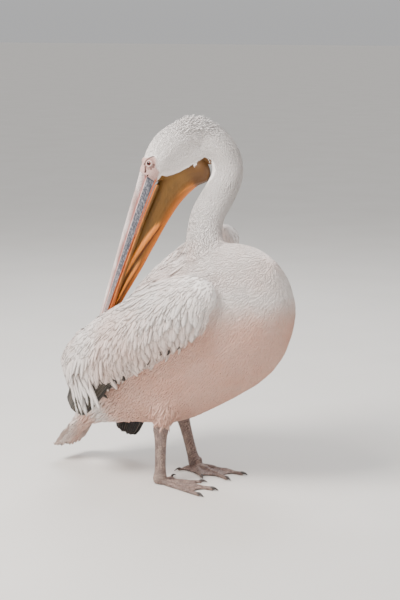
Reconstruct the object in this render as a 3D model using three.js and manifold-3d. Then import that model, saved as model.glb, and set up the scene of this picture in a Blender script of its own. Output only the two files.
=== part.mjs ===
// A great white pelican, life size, standing and preening over its right side, as a still museum model.
// Millimetres. +X is the way the breast points, +Y is the bird's left and +Z is up from the floor.
import * as THREE from "three";
import { mergeVertices } from "three/addons/utils/BufferGeometryUtils.js";
import Module from "manifold-3d";

const wasm = await Module();
wasm.setup();

// ---------------------------------------------------------------- driving dimensions
const BILL_LENGTH = 380; // culmen, forehead feathers to the tip of the nail
const TARSUS_LENGTH = 130; // heel joint to the sole
const STANCE = 78; // each foot's distance from the middle line between them
const FEET_OVER = 8; // where that middle line runs
const TOE_LENGTH = 130; // ball of the foot to the root of the middle claw
const BODY_ROLL = 14; // degrees: the bird leans to its right as it reaches back
const SEAM = 0.4; // gap between touching pieces
const FEATHER_EDGE = 3; // half thickness of the wings and the tail at their edges

const v3 = (x, y, z) => new THREE.Vector3(x, y, z);
const rad = THREE.MathUtils.degToRad;
const LEFT = v3(0, 1, 0);

// The head is turned back over the right side, tipped down and rolled a little.
const HEAD_AT = v3(-72, -10, 692); // the base of the bill
const HEAD_YAW = 150;
const HEAD_PITCH = 70;
const HEAD_ROLL = -18;

const MATERIALS = {
  plumage: { colour: 0xf1e6df, roughness: 0.9 },
  flight: { colour: 0x1d1b1c, roughness: 0.8 },
  horn: { colour: 0x8f9099, roughness: 0.45 },
  mandible: { colour: 0xe08a3c, roughness: 0.45 },
  nail: { colour: 0xb5442e, roughness: 0.4 },
  pouch: { colour: 0xdf7d22, roughness: 0.55 },
  eye: { colour: 0x2a0f0c, roughness: 0.1 },
  leg: { colour: 0xb79a8c, roughness: 0.7 },
  claw: { colour: 0x4a4340, roughness: 0.5 },
};

// ---------------------------------------------------------------- making solids
// A value that runs smoothly through a list of them; u goes from 0 to 1.
function through(values, u) {
  const last = values.length - 1;
  const at = Math.min(u * last, last - 1e-9);
  const i = Math.floor(at);
  const t = at - i;
  const [b, c] = [values[i], values[i + 1]];
  const a = i > 0 ? values[i - 1] : 2 * b - c;
  const d = i + 2 <= last ? values[i + 2] : 2 * c - b;
  return b + 0.5 * t * (c - a + t * (2 * a - 5 * b + 4 * c - d + t * (3 * (b - c) + d - a)));
}

const throughPoints = (points, u) =>
  v3(
    through(points.map((p) => p.x), u),
    through(points.map((p) => p.y), u),
    through(points.map((p) => p.z), u),
  );

// One closed surface over rings with equal point counts and a point beyond each end.
function skinOver(rings, first, last) {
  const n = rings[0].length;
  const vertices = [first, ...rings.flat(), last];
  const index = [];
  const at = (ring, k) => 1 + ring * n + (k % n);
  for (let k = 0; k < n; k++) {
    index.push(0, at(0, k + 1), at(0, k));
    for (let r = 0; r + 1 < rings.length; r++) {
      index.push(at(r, k), at(r, k + 1), at(r + 1, k + 1));
      index.push(at(r, k), at(r + 1, k + 1), at(r + 1, k));
    }
    index.push(at(rings.length - 1, k), at(rings.length - 1, k + 1), vertices.length - 1);
  }
  return new THREE.BufferGeometry().setFromPoints(vertices).setIndex(index);
}

// A body swept through stations. Each gives a spine point `at`, the half width `wide` along `side`, the half
// heights `up` and `down` (up is the way the sweep runs x side), and how the section bends: `curl` moves its
// top and bottom along the side, `lean` its top one way and its bottom the other, `arch` its sides down.
// `round` is how far the rounded ends stand beyond the first and last station, `square` fills the corners,
// `facing` holds every section square to one direction, and `from` and `to` take out a length with flat ends.
const SWEEP = { around: 20, along: 18, grow: 0, round: [0, 0], capRings: 2, square: 2, from: 0, to: 1 };
function sweep(stations, options = {}) {
  const { around, along, grow, round, capRings, square, facing, from, to } = { ...SWEEP, ...options };
  const full = stations.map((s) => ({ side: LEFT, curl: 0, lean: 0, arch: 0, ...s }));
  const list = (key) => full.map((s) => s[key]);
  const spineAt = (u) => throughPoints(list("at"), u);
  const frameAt = (u) => {
    const step = 1e-3;
    const run = () => spineAt(Math.min(1, u + step)).sub(spineAt(Math.max(0, u - step)));
    const tangent = (facing ? facing.clone() : run()).normalize();
    const side = throughPoints(list("side"), u);
    side.addScaledVector(tangent, -side.dot(tangent)).normalize();
    return { tangent, side, top: tangent.clone().cross(side) };
  };
  const power = (value) => Math.sign(value) * Math.abs(value) ** (2 / square);
  const ringAt = (u, scale, beyond) => {
    const { tangent, side, top } = frameAt(u);
    const centre = spineAt(u).addScaledVector(tangent, beyond);
    const value = (key) => through(list(key), u);
    return Array.from({ length: around }, (_, k) => {
      const angle = (2 * Math.PI * k) / around;
      const [across, high] = [power(Math.cos(angle)), power(Math.sin(angle))];
      const height = (high > 0 ? value("up") : value("down")) + grow;
      const bend = value("curl") * high * high + value("lean") * high;
      return centre
        .clone()
        .addScaledVector(side, scale * ((value("wide") + grow) * across + bend))
        .addScaledVector(top, scale * (height * high - value("arch") * across * across));
    });
  };
  const ends = [from, to];
  const beyond = ends.map((u, i) => (u === i ? round[i] + grow : 0));
  const cap = (i) => {
    const way = i === 0 ? -1 : 1;
    return Array.from({ length: round[i] > 0 ? capRings : 0 }, (_, k) => {
      const angle = ((k + 1) / (capRings + 1)) * (Math.PI / 2);
      return ringAt(ends[i], Math.cos(angle), way * beyond[i] * Math.sin(angle));
    });
  };
  const rings = Array.from({ length: along + 1 }, (_, i) => ringAt(from + ((to - from) * i) / along, 1, 0));
  const tip = (i) =>
    spineAt(ends[i]).addScaledVector(frameAt(ends[i]).tangent, (i === 0 ? -1 : 1) * beyond[i]);
  return skinOver([...cap(0).reverse(), ...rings, ...cap(1)], tip(0), tip(1));
}

function solid(geometry) {
  const bare = geometry.index ? geometry.toNonIndexed() : geometry.clone();
  for (const name of ["normal", "uv"]) bare.deleteAttribute(name);
  const merged = mergeVertices(bare, 1e-3);
  const made = new wasm.Manifold(
    new wasm.Mesh({
      numProp: 3,
      vertProperties: merged.attributes.position.array,
      triVerts: new Uint32Array(merged.index.array),
    }),
  );
  return made;
}

const join = (...pieces) => pieces.reduce((all, piece) => all.add(piece));
const cut = (piece, ...tools) => tools.reduce((left, tool) => left.subtract(tool), piece);
const biggest = (piece) => piece.decompose().sort((a, b) => b.volume() - a.volume())[0];

// The piece on the `normal` side of the plane through `point`, half a seam away from it.
function half(piece, point, normal) {
  const unit = normal.clone().normalize();
  return piece.trimByPlane(unit.toArray(), unit.dot(point) + SEAM / 2);
}

const ball = (centre, radii, segments = 24) =>
  new THREE.SphereGeometry(1, segments, Math.round(segments * 0.6))
    .rotateX(Math.PI / 2)
    .scale(radii.x, radii.y, radii.z)
    .translate(centre.x, centre.y, centre.z);

const aboveLevel = (piece, z) => piece.trimByPlane([0, 0, 1], z);

// ---------------------------------------------------------------- trunk
// The body slopes up to the breast. Its sections stand square to the slope: `s` runs along it, `h` is the
// middle's height square to it, and `deep` and `wide` are the half depth and half width.
const BODY_SLOPE = 30;
const BODY_WAY = v3(Math.cos(rad(BODY_SLOPE)), 0, Math.sin(rad(BODY_SLOPE)));
const TRUNK_SIDE = LEFT.clone().applyAxisAngle(BODY_WAY, rad(BODY_ROLL));
const BACK_WAY = BODY_WAY.clone().cross(LEFT);
const TRUNK = [
  { s: -160, h: 228, deep: 26, wide: 40 },
  { s: -130, h: 252, deep: 60, wide: 58 },
  { s: -80, h: 261, deep: 87, wide: 80 },
  { s: -20, h: 257, deep: 112, wide: 96 },
  { s: 50, h: 254, deep: 142, wide: 109 },
  { s: 120, h: 262, deep: 162, wide: 117 },
  { s: 190, h: 270, deep: 170, wide: 121 },
  { s: 260, h: 272, deep: 172, wide: 119 },
  { s: 325, h: 276, deep: 164, wide: 111 },
  { s: 380, h: 282, deep: 144, wide: 95 },
  { s: 425, h: 289, deep: 111, wide: 73 },
  { s: 450, h: 291, deep: 84, wide: 54 },
  { s: 464, h: 297, deep: 56, wide: 36 },
].map(({ s, h, deep, wide }) => ({
  at: BODY_WAY.clone().multiplyScalar(s).addScaledVector(BACK_WAY, h),
  wide,
  up: deep,
  down: deep,
  side: TRUNK_SIDE,
}));
const TRUNK_MAKE = { around: 20, along: 15, round: [10, 11], square: 2.2, facing: BODY_WAY };
const trunkBody = (grow = 0) => solid(sweep(TRUNK, { ...TRUNK_MAKE, grow }));

// ---------------------------------------------------------------- head and neck
// Head coordinates: a runs out along the bill from its base, l to the head's left, h to the crown.
const LEVEL_WAY = v3(Math.cos(rad(HEAD_YAW)), -Math.sin(rad(HEAD_YAW)), 0);
const UP = v3(0, 0, 1);
const BILL_WAY = LEVEL_WAY.clone()
  .multiplyScalar(Math.cos(rad(HEAD_PITCH)))
  .addScaledVector(UP, -Math.sin(rad(HEAD_PITCH)));
const HEAD_LEFT = UP.clone().cross(LEVEL_WAY).applyAxisAngle(BILL_WAY, rad(HEAD_ROLL));
const CROWN_WAY = BILL_WAY.clone().cross(HEAD_LEFT);
const HEAD_FRAME = new THREE.Matrix4().makeBasis(BILL_WAY, HEAD_LEFT, CROWN_WAY).setPosition(HEAD_AT);
const onHead = (a, l, h) => v3(a, l, h).applyMatrix4(HEAD_FRAME);
const HEAD_RIGHT = HEAD_LEFT.clone().negate();

const NECK_TURN = v3(-0.4, 0.92, 0); // the neck's own right side where it leaves the head
const NECK = [
  { at: onHead(-SEAM, 0, 3), wide: 22, up: 23, down: 24, side: HEAD_RIGHT },
  { at: onHead(-22, 0, -3), wide: 29, up: 30, down: 40, side: HEAD_RIGHT },
  { at: onHead(-52, 0, -11), wide: 35, up: 39, down: 52, side: HEAD_RIGHT },
  { at: onHead(-86, 0, -26), wide: 37, up: 42, down: 56, side: HEAD_RIGHT },
  { at: onHead(-117, 0, -57), wide: 37, up: 38, down: 50, side: HEAD_RIGHT },
  { at: onHead(-126, 0, -95), wide: 37, up: 37, down: 44, side: HEAD_RIGHT },
  { at: v3(65, 82, 749), wide: 36, up: 36, down: 39, side: NECK_TURN },
  { at: v3(80, 79, 702), wide: 36, up: 36, down: 36, side: NECK_TURN },
  { at: v3(73, 53, 655), wide: 38, up: 38, down: 38, side: LEFT },
  { at: v3(64, 20, 611), wide: 39, up: 39, down: 39, side: LEFT },
  { at: v3(67, 0, 566), wide: 42, up: 42, down: 42, side: LEFT },
  { at: v3(85, -26, 518), wide: 50, up: 56, down: 49, side: LEFT },
  { at: v3(120, -54, 464), wide: 64, up: 70, down: 62, side: LEFT },
];
const NECK_ENDS = {
  head: [0, 0.25],
  neck_curl: [0.25, 0.54],
  neck_middle: [0.54, 0.76],
  neck_base: [0.76, 1],
};
const NECK_STEPS = 28;
const NECK_AROUND = 16;
const NECK_MAKE = { around: NECK_AROUND, round: [0, 10] };
const neckBody = (grow = 0) => solid(sweep(NECK, { ...NECK_MAKE, along: NECK_STEPS, grow }));
function neckLength([from, to]) {
  const gap = SEAM / 2 / 900; // the run is some 900 long
  const ends = [from > 0 ? from + gap : 0, to < 1 ? to - gap : 1];
  const along = Math.round((to - from) * NECK_STEPS);
  return solid(sweep(NECK, { ...NECK_MAKE, along, from: ends[0], to: ends[1] }));
}

// ---------------------------------------------------------------- bill
// The upper bill: half width, height of its cutting edge and height of its ridge, out along the bill.
const UPPER_BILL = [
  { a: -8, wide: 21, edge: -12, ridge: 25 },
  { a: 40, wide: 20, edge: -10, ridge: 21 },
  { a: 110, wide: 19, edge: -9, ridge: 17 },
  { a: 190, wide: 18, edge: -9, ridge: 11 },
  { a: 270, wide: 17.5, edge: -9, ridge: 5 },
  { a: 335, wide: 16.5, edge: -9, ridge: 0 },
  { a: 364, wide: 12, edge: -11, ridge: -2 },
  { a: 372, wide: 6, edge: -12, ridge: -4 },
];
// Half of the bill's section from the ridge to the cutting edge, as shares of the half width and the height.
const BILL_SECTION = [[0, 1], [0.2, 0.93], [0.32, 0.62], [0.72, 0.42], [1, 0.12], [1, 0]];

function billRing({ a, wide, edge, ridge }, grow = 0) {
  const right = BILL_SECTION.map(([y, z]) => [-y * wide, edge + z * (ridge - edge)]);
  const left = right.slice(1).map(([y, z]) => [-y, z]).reverse();
  const centre = (edge + ridge) / 2;
  return [...right, ...left].map(([y, z]) => {
    const size = Math.hypot(y, z - centre);
    return onHead(a, (y * (size + grow)) / size, centre + ((z - centre) * (size + grow)) / size);
  });
}

function upperBill(grow = 0) {
  const steps = 10;
  const rings = Array.from({ length: steps + 1 }, (_, i) => {
    const value = (key) => through(UPPER_BILL.map((s) => s[key]), i / steps);
    return billRing({ a: value("a"), wide: value("wide"), edge: value("edge"), ridge: value("ridge") }, grow);
  });
  const middle = ({ a, edge, ridge }, by) => onHead(a + by, 0, (edge + ridge) / 2);
  return solid(skinOver(rings, middle(UPPER_BILL[0], -grow), middle(UPPER_BILL.at(-1), 2 + grow)));
}

// The hooked nail over the end of the bill.
const NAIL = [
  { at: onHead(352, 0, -5), wide: 6, up: 5, down: 7, side: HEAD_RIGHT },
  { at: onHead(364, 0, -7), wide: 6.5, up: 6, down: 8, side: HEAD_RIGHT },
  { at: onHead(BILL_LENGTH - 5, 0, -11), wide: 5.5, up: 5.5, down: 7, side: HEAD_RIGHT },
  { at: onHead(BILL_LENGTH - 3, 0, -21), wide: 3.4, up: 2.4, down: 2.4, side: HEAD_RIGHT },
];
const nailBody = (grow = 0) => solid(sweep(NAIL, { around: 10, along: 5, round: [2, 2], capRings: 1, grow }));

// The lower bill is two thin bars, joined only at the tip.
function lowerBill(grow = 0) {
  const bar = (way) => {
    const stations = [
      { a: 366, l: 3, h: -17 },
      { a: 352, l: 11, h: -16.5 },
      { a: 325, l: 14, h: -15.5 },
      { a: 250, l: 15.2, h: -15.5 },
      { a: 170, l: 15.8, h: -15.5 },
      { a: 90, l: 16.6, h: -16 },
      { a: 10, l: 17.8, h: -19 },
    ].map(({ a, l, h }) => ({ at: onHead(a, way * l, h), wide: 2.8, up: 4.6, down: 4.6, side: HEAD_RIGHT }));
    return solid(sweep(stations, { around: 6, along: 8, round: [3, 2], capRings: 1, grow }));
  };
  const chin = ball(onHead(364, 0, -16.5), v3(6 + grow, 6 + grow, 5 + grow), 10);
  return join(bar(1), bar(-1), solid(chin));
}

// ---------------------------------------------------------------- pouch
const POUCH = [
  { at: onHead(356, 0, -22), wide: 8, up: 4, down: 4 },
  { at: onHead(300, 0, -27), wide: 13, up: 11, down: 11 },
  { at: onHead(230, 0, -33), wide: 14, up: 19, down: 19 },
  { at: onHead(150, 0, -40), wide: 15, up: 25, down: 25 },
  { at: onHead(70, 0, -50), wide: 17, up: 29, down: 29 },
  { at: onHead(10, 0, -61), wide: 21, up: 38, down: 36 },
  { at: onHead(-34, 9, -80), wide: 24, up: 42, down: 36 },
  { at: onHead(-56, 24, -106), wide: 24, up: 32, down: 28 },
].map((station) => ({ ...station, side: HEAD_RIGHT }));
const pouchBody = (grow = 0) => solid(sweep(POUCH, { around: 12, along: 9, round: [3, 10], grow }));

// ---------------------------------------------------------------- wings
// A folded wing runs back from the wrist; its right or left way out is `out`.
const RIGHT = v3(0, -1, 0);
const WING_RIGHT = [
  { at: v3(150, -118, 462), wide: 18, up: 28, down: 34, curl: -3, lean: -2 },
  { at: v3(128, -126, 458), wide: 26, up: 52, down: 58, curl: -12, lean: -7 },
  { at: v3(90, -133, 438), wide: 30, up: 68, down: 78, curl: -20, lean: -12 },
  { at: v3(40, -137, 410), wide: 31, up: 78, down: 82, curl: -26, lean: -16 },
  { at: v3(-25, -138, 370), wide: 30, up: 81, down: 82, curl: -27, lean: -16 },
  { at: v3(-95, -134, 328), wide: 28, up: 82, down: 82, curl: -27, lean: -16 },
  { at: v3(-160, -126, 289), wide: 24, up: 79, down: 82, curl: -26, lean: -16 },
  { at: v3(-211, -117, 261), wide: 18, up: 66, down: 76, curl: -19, lean: -11 },
  { at: v3(-243, -110, 243), wide: 9, up: 38, down: 50, curl: -7, lean: -4 },
].map((station) => ({ ...station, side: RIGHT }));
const PRIMARIES_RIGHT = [
  { at: v3(-110, -132, 270), wide: 12, up: 44, down: 40, curl: -8 },
  { at: v3(-160, -128, 222), wide: 10, up: 40, down: 34, curl: -6 },
  { at: v3(-194, -122, 184), wide: 7, up: 30, down: 24, curl: -3 },
  { at: v3(-216, -116, 156), wide: FEATHER_EDGE, up: 14, down: 12, curl: 0 },
].map((station) => ({ ...station, side: RIGHT }));
const WING_LEFT = [
  { at: v3(82, 98, 560), wide: 20, up: 32, down: 33, curl: -3, lean: -3 },
  { at: v3(54, 110, 533), wide: 28, up: 60, down: 64, curl: -12, lean: -9 },
  { at: v3(12, 119, 486), wide: 31, up: 68, down: 80, curl: -20, lean: -16 },
  { at: v3(-42, 125, 440), wide: 31, up: 70, down: 86, curl: -26, lean: -20 },
  { at: v3(-96, 127, 392), wide: 30, up: 70, down: 88, curl: -27, lean: -22 },
  { at: v3(-144, 123, 342), wide: 27, up: 72, down: 86, curl: -27, lean: -22 },
  { at: v3(-182, 115, 292), wide: 22, up: 68, down: 80, curl: -22, lean: -18 },
  { at: v3(-206, 107, 252), wide: 15, up: 50, down: 60, curl: -14, lean: -11 },
  { at: v3(-220, 100, 226), wide: 8, up: 26, down: 36, curl: -5, lean: -4 },
].map((station) => ({ ...station, side: LEFT }));
const PRIMARIES_LEFT = [
  { at: v3(-80, 114, 360), wide: 11, up: 40, down: 40, curl: -8, lean: -5 },
  { at: v3(-134, 114, 250), wide: 11, up: 44, down: 42, curl: -6, lean: -4 },
  { at: v3(-165, 104, 165), wide: 9, up: 38, down: 36, curl: -4, lean: -2 },
  { at: v3(-192, 92, 96), wide: 6, up: 33, down: 34, curl: -2, lean: -1 },
  { at: v3(-201, 84, 54), wide: FEATHER_EDGE, up: 20, down: 20, curl: 0, lean: 0 },
].map((station) => ({ ...station, side: LEFT }));
const wingBody = (stations, grow = 0) =>
  solid(sweep(stations, { around: 16, along: 11, round: [14, 8], grow }));
const primaryBody = (stations, grow = 0) =>
  solid(sweep(stations, { around: 12, along: 6, round: [6, 5], capRings: 1, grow }));

// ---------------------------------------------------------------- tail
// `roll` tips the right edge of the fan up.
const TAIL = [
  { at: v3(-214, -4, 150), wide: 50, up: 36, down: 38, roll: 2 },
  { at: v3(-242, -3, 121), wide: 47, up: 27, down: 26, roll: 8 },
  { at: v3(-268, -2, 93), wide: 45, up: 14, down: 13, roll: 14 },
  { at: v3(-293, -1, 64), wide: 47, up: 7, down: 6, roll: 18 },
  { at: v3(-314, 0, 34), wide: 50, up: FEATHER_EDGE, down: FEATHER_EDGE, roll: 18 },
].map(({ roll, ...station }) => ({
  ...station,
  side: v3(0, -Math.cos(rad(roll)), Math.sin(rad(roll))),
  arch: -4,
}));
const tailBody = (grow = 0) =>
  solid(sweep(TAIL, { around: 14, along: 6, round: [10, 5], capRings: 1, grow }));

// ---------------------------------------------------------------- legs and feet
// A foot has four toes joined by web; `turn` is where the middle toe points, counted from straight ahead
// outwards, and `lean` is how far behind the ball of the foot the heel joint stands (minus is ahead).
const SIDES = {
  right: { out: -1, ball: v3(-10, FEET_OVER - STANCE, 0), turn: -6, lean: -3 },
  left: { out: 1, ball: v3(-7, FEET_OVER + STANCE, 0), turn: -26, lean: 37 },
};
const TOES = [
  { name: "outer", turn: 23, length: 1.0, thick: 7 },
  { name: "middle", turn: 0, length: 1.0, thick: 7.5 },
  { name: "inner", turn: -25, length: 0.72, thick: 6.5 },
  { name: "hind", turn: -82, length: 0.4, thick: 5 },
];
const WEB_TOP = 5;
const WEB_FLOOR = 1.5;
const WEB_EDGE = 0.88; // how far out along the toes the web reaches

function toeWay({ out, turn }, toe) {
  const angle = rad(turn + toe.turn) * out;
  return v3(Math.cos(angle), Math.sin(angle), 0);
}

function footBody(side) {
  const foot = SIDES[side];
  const along = (toe, distance, z) =>
    foot.ball.clone().addScaledVector(toeWay(foot, toe), distance).setZ(z);
  const across = (toe) => UP.clone().cross(toeWay(foot, toe));
  const toes = TOES.map((toe) => {
    const length = toe.length * TOE_LENGTH;
    const station = (share, size) => ({
      at: along(toe, share * length, size * 0.7),
      wide: size,
      up: size,
      down: size,
      side: across(toe).negate(),
    });
    const sizes = [1.15, 0.95, 0.82, 0.76, 0.62];
    const stations = sizes.map((size, i) => station(i / (sizes.length - 1), toe.thick * size));
    return solid(sweep(stations, { around: 6, along: 3, round: [4, 3], capRings: 1 }));
  });
  const edge = [foot.ball.clone().addScaledVector(toeWay(foot, TOES[1]), -12)];
  TOES.forEach((toe, i) => {
    edge.push(along(toe, toe.length * TOE_LENGTH * WEB_EDGE, 0));
    const next = TOES[i + 1];
    if (!next) return;
    const middle = along(toe, toe.length * TOE_LENGTH * WEB_EDGE, 0)
      .add(along(next, next.length * TOE_LENGTH * WEB_EDGE, 0))
      .multiplyScalar(0.5);
    edge.push(middle.lerp(foot.ball, 0.12));
  });
  const outline = edge.map((p) => new THREE.Vector2(p.x, p.y));
  if (THREE.ShapeUtils.isClockWise(outline)) outline.reverse();
  const web = new THREE.ExtrudeGeometry(new THREE.Shape(outline), {
    depth: WEB_TOP - WEB_FLOOR,
    bevelEnabled: false,
  }).translate(0, 0, WEB_FLOOR);
  const ankle = solid(ball(foot.ball.clone().setZ(10), v3(17, 14, 15), 8));
  return aboveLevel(join(solid(web), ankle, ...toes), 0);
}

function clawBody(side, toe) {
  const foot = SIDES[side];
  const way = toeWay(foot, toe);
  const root = foot.ball.clone().addScaledVector(way, toe.length * TOE_LENGTH);
  const size = toe.thick * 0.5;
  const stations = [
    { at: root.clone().addScaledVector(way, -3).setZ(5.4), wide: size, up: size, down: size },
    { at: root.clone().addScaledVector(way, 6).setZ(5), wide: size * 0.8, up: size * 0.8, down: size * 0.8 },
    { at: root.clone().addScaledVector(way, 14).setZ(2.6), wide: 1, up: 1, down: 1 },
  ].map((station) => ({ ...station, side: UP.clone().cross(way).negate() }));
  return (grow = 0) => solid(sweep(stations, { around: 6, along: 3, round: [1, 1], capRings: 1, grow }));
}

const heelOf = ({ ball: at, lean }) => v3(at.x - lean, at.y, Math.sqrt(TARSUS_LENGTH ** 2 - lean ** 2));

function legBody(side, grow = 0) {
  const foot = SIDES[side];
  const heel = heelOf(foot);
  const place = (share) => foot.ball.clone().lerp(heel, share);
  const stations = [
    { at: place(1.08).add(v3(3, 0, 0)), wide: 15, up: 19, down: 18 },
    { at: place(0.97), wide: 15.5, up: 20, down: 21 },
    { at: place(0.82), wide: 13, up: 16, down: 18 },
    { at: place(0.55), wide: 12, up: 15, down: 16 },
    { at: place(0.28), wide: 12, up: 15, down: 16 },
    { at: place(0.1), wide: 13, up: 17, down: 16 },
  ].map((station) => ({ ...station, side: LEFT }));
  return solid(sweep(stations, { around: 12, along: 8, round: [8, 4], capRings: 1, grow }));
}

function thighBody(side, grow = 0) {
  const foot = SIDES[side];
  const heel = heelOf(foot);
  const inwards = -foot.out;
  const stations = [
    { at: heel.clone().add(v3(8, 22 * inwards, 112)), wide: 34, up: 54, down: 52 },
    { at: heel.clone().add(v3(6, 14 * inwards, 72)), wide: 37, up: 50, down: 50 },
    { at: heel.clone().add(v3(4, 6 * inwards, 36)), wide: 31, up: 37, down: 38 },
    { at: heel.clone().add(v3(2, 0, 8)), wide: 19, up: 23, down: 24 },
  ].map((station) => ({ ...station, side: LEFT }));
  return solid(sweep(stations, { around: 12, along: 5, round: [12, 5], grow }));
}

// ---------------------------------------------------------------- eyes
const EYE_RADIUS = 9;
const eyeAt = (way) => onHead(-31.5, way * 17.1, 13.7);
const eyeBody = (way, grow = 0) => {
  const r = EYE_RADIUS + grow;
  return solid(ball(eyeAt(way), v3(r, r, r), 12));
};

// ---------------------------------------------------------------- dividing the bird
const flip = ({ point, normal }) => ({ point, normal: normal.clone().negate() });
const keep = (piece, plane) => half(piece, plane.point, plane.normal);
// Cuts a piece into slices: each plane takes what lies on its side and leaves the rest to the next.
function slices(piece, planes) {
  const taken = [];
  let rest = piece;
  for (const plane of planes) {
    taken.push(keep(rest, plane));
    rest = keep(rest, flip(plane));
  }
  return [...taken, rest];
}

const BREAST_CUT = { point: v3(112, 0, 350), normal: BODY_WAY };
const RUMP_CUT = { point: v3(-150, 0, 220), normal: BODY_WAY.clone().negate() };
const WING_CUTS = {
  right: { point: v3(0, 0, 366), normal: v3(-0.508, 0, 0.861) },
  left: { point: v3(-50, 0, 430), normal: v3(-0.66, 0, 0.75) },
};
const PRIMARIES = { right: PRIMARIES_RIGHT, left: PRIMARIES_LEFT };
const WINGS = { right: WING_RIGHT, left: WING_LEFT };
const EYES = { right: -1, left: 1 };

const pieces = {};
const put = (name, shape, material) => {
  pieces[name] = { shape: biggest(shape).simplify(SEAM / 2.4), material };
};

const [breast, rump, trunk] = slices(cut(trunkBody(), tailBody(SEAM)), [BREAST_CUT, RUMP_CUT]);
put("breast", breast, "plumage");
put("rump", rump, "plumage");
put("trunk", trunk, "plumage");
put("tail", tailBody(), "plumage");

const sockets = Object.values(EYES).map((way) => eyeBody(way, SEAM));
for (const [name, ends] of Object.entries(NECK_ENDS)) {
  put(name, cut(neckLength(ends), trunkBody(SEAM), upperBill(SEAM), ...sockets), "plumage");
}
for (const [side, way] of Object.entries(EYES)) put(`eye_${side}`, eyeBody(way), "eye");

put("bill_nail", nailBody(), "nail");
put("bill_upper", cut(upperBill(), nailBody(SEAM)), "horn");
put("bill_lower", cut(lowerBill(), upperBill(SEAM), nailBody(SEAM), neckBody(SEAM)), "mandible");
const bill = (grow) => [upperBill(grow), lowerBill(grow), nailBody(grow)];
put("pouch", cut(pouchBody(), ...bill(SEAM), neckBody(SEAM)), "pouch");

for (const [side, stations] of Object.entries(WINGS)) {
  const body = [trunkBody(SEAM), neckBody(SEAM), tailBody(SEAM)];
  const [coverts, secondaries] = slices(cut(wingBody(stations), ...body), [WING_CUTS[side]]);
  put(`wing_${side}_coverts`, coverts, "plumage");
  put(`wing_${side}_secondaries`, secondaries, "plumage");
  const primaries = cut(primaryBody(PRIMARIES[side]), wingBody(stations, SEAM), ...body);
  put(`wing_${side}_primaries`, primaries, "flight");
}

for (const side of Object.keys(SIDES)) {
  const claws = TOES.map((toe) => clawBody(side, toe));
  const leg = cut(legBody(side), trunkBody(SEAM));
  put(`foot_${side}`, cut(footBody(side), legBody(side, SEAM), ...claws.map((claw) => claw(SEAM))), "leg");
  put(`leg_${side}`, leg, "leg");
  put(`thigh_${side}`, cut(thighBody(side), trunkBody(SEAM), legBody(side, SEAM)), "plumage");
  TOES.forEach((toe, i) => put(`claw_${side}_${toe.name}`, claws[i](), "claw"));
}

// ---------------------------------------------------------------- the model
// The origin is the middle of the bird's outline on the floor.
const bounds = new THREE.Box3();
for (const { shape } of Object.values(pieces)) {
  const { min, max } = shape.boundingBox();
  bounds.union(new THREE.Box3(v3(...min), v3(...max)));
}
const shift = bounds.getCenter(v3(0, 0, 0)).negate().setZ(0);

const pelican = new THREE.Group();
pelican.name = "pelican";
pelican.userData.shift = shift.toArray();
for (const [name, { shape, material }] of Object.entries(pieces)) {
  const { numProp, vertProperties, triVerts } = shape.getMesh();
  const positions = new Float32Array((vertProperties.length / numProp) * 3);
  for (let i = 0; i < positions.length / 3; i++) {
    for (let k = 0; k < 3; k++) positions[3 * i + k] = vertProperties[numProp * i + k];
  }
  const geometry = new THREE.BufferGeometry()
    .setAttribute("position", new THREE.BufferAttribute(positions, 3))
    .setIndex(Array.from(triVerts));
  geometry.translate(...shift.toArray());
  geometry.computeVertexNormals();
  const { colour, roughness } = MATERIALS[material];
  const surface = new THREE.MeshStandardMaterial({ color: colour, roughness, metalness: 0 });
  surface.name = material;
  const mesh = new THREE.Mesh(geometry, surface);
  mesh.name = name;
  pelican.add(mesh);
}

export default pelican;
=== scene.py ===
import bpy
import numpy as np
from mathutils.bvhtree import BVHTree
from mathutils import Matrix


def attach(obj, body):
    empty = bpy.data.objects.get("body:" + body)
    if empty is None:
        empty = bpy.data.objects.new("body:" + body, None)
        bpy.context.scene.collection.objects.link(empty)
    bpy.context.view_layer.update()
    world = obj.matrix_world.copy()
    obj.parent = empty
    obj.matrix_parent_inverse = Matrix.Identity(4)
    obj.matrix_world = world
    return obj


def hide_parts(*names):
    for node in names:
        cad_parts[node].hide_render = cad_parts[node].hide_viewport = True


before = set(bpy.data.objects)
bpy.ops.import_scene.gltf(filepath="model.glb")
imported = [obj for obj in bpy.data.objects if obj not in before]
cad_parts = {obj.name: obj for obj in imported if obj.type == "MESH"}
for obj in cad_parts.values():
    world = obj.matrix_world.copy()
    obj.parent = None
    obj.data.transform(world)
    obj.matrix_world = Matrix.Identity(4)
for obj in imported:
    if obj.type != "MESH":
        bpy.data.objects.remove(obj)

# A great white pelican, life size, preening over its right side. Shapes are worked out in millimetres about the
# bird's own modelling origin (+X breast, +Y its left, +Z up) and put into the frame, in metres, when made.
MM = 0.001
SHIFT = np.array([20.150, 4.631, 0.0])
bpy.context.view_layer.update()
rng = np.random.default_rng(20)
UP = np.array([0.0, 0.0, 1.0])
LEFT = np.array([0.0, 1.0, 0.0])


# ------------------------------------------------------------------ camera and lights
VIEW = {"target": (0.0202, 0.0996, 0.40), "azimuth": 30, "elevation": 10.5, "distance": 3.49}
LIGHTS_AT = (0.0, 0.0, 0.4)


def facing(name, data, target, azimuth, elevation, distance):
    """Adds a camera or a light that looks at target (metres) from that direction."""
    a, e = np.radians(azimuth), np.radians(elevation)
    back = np.array([np.sin(a) * np.cos(e), -np.cos(a) * np.cos(e), np.sin(e)])
    ob = bpy.data.objects.new(name, data)
    ob.location, ob.rotation_euler = np.array(target) + back * distance, (np.pi / 2 - e, 0.0, a)
    bpy.context.collection.objects.link(ob)
    return ob


def add_camera():
    cam = bpy.data.cameras.new("camera")
    cam.lens, cam.sensor_width, cam.sensor_fit = 90, 36, "AUTO"
    bpy.context.scene.camera = facing("camera", cam, **VIEW)


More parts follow.
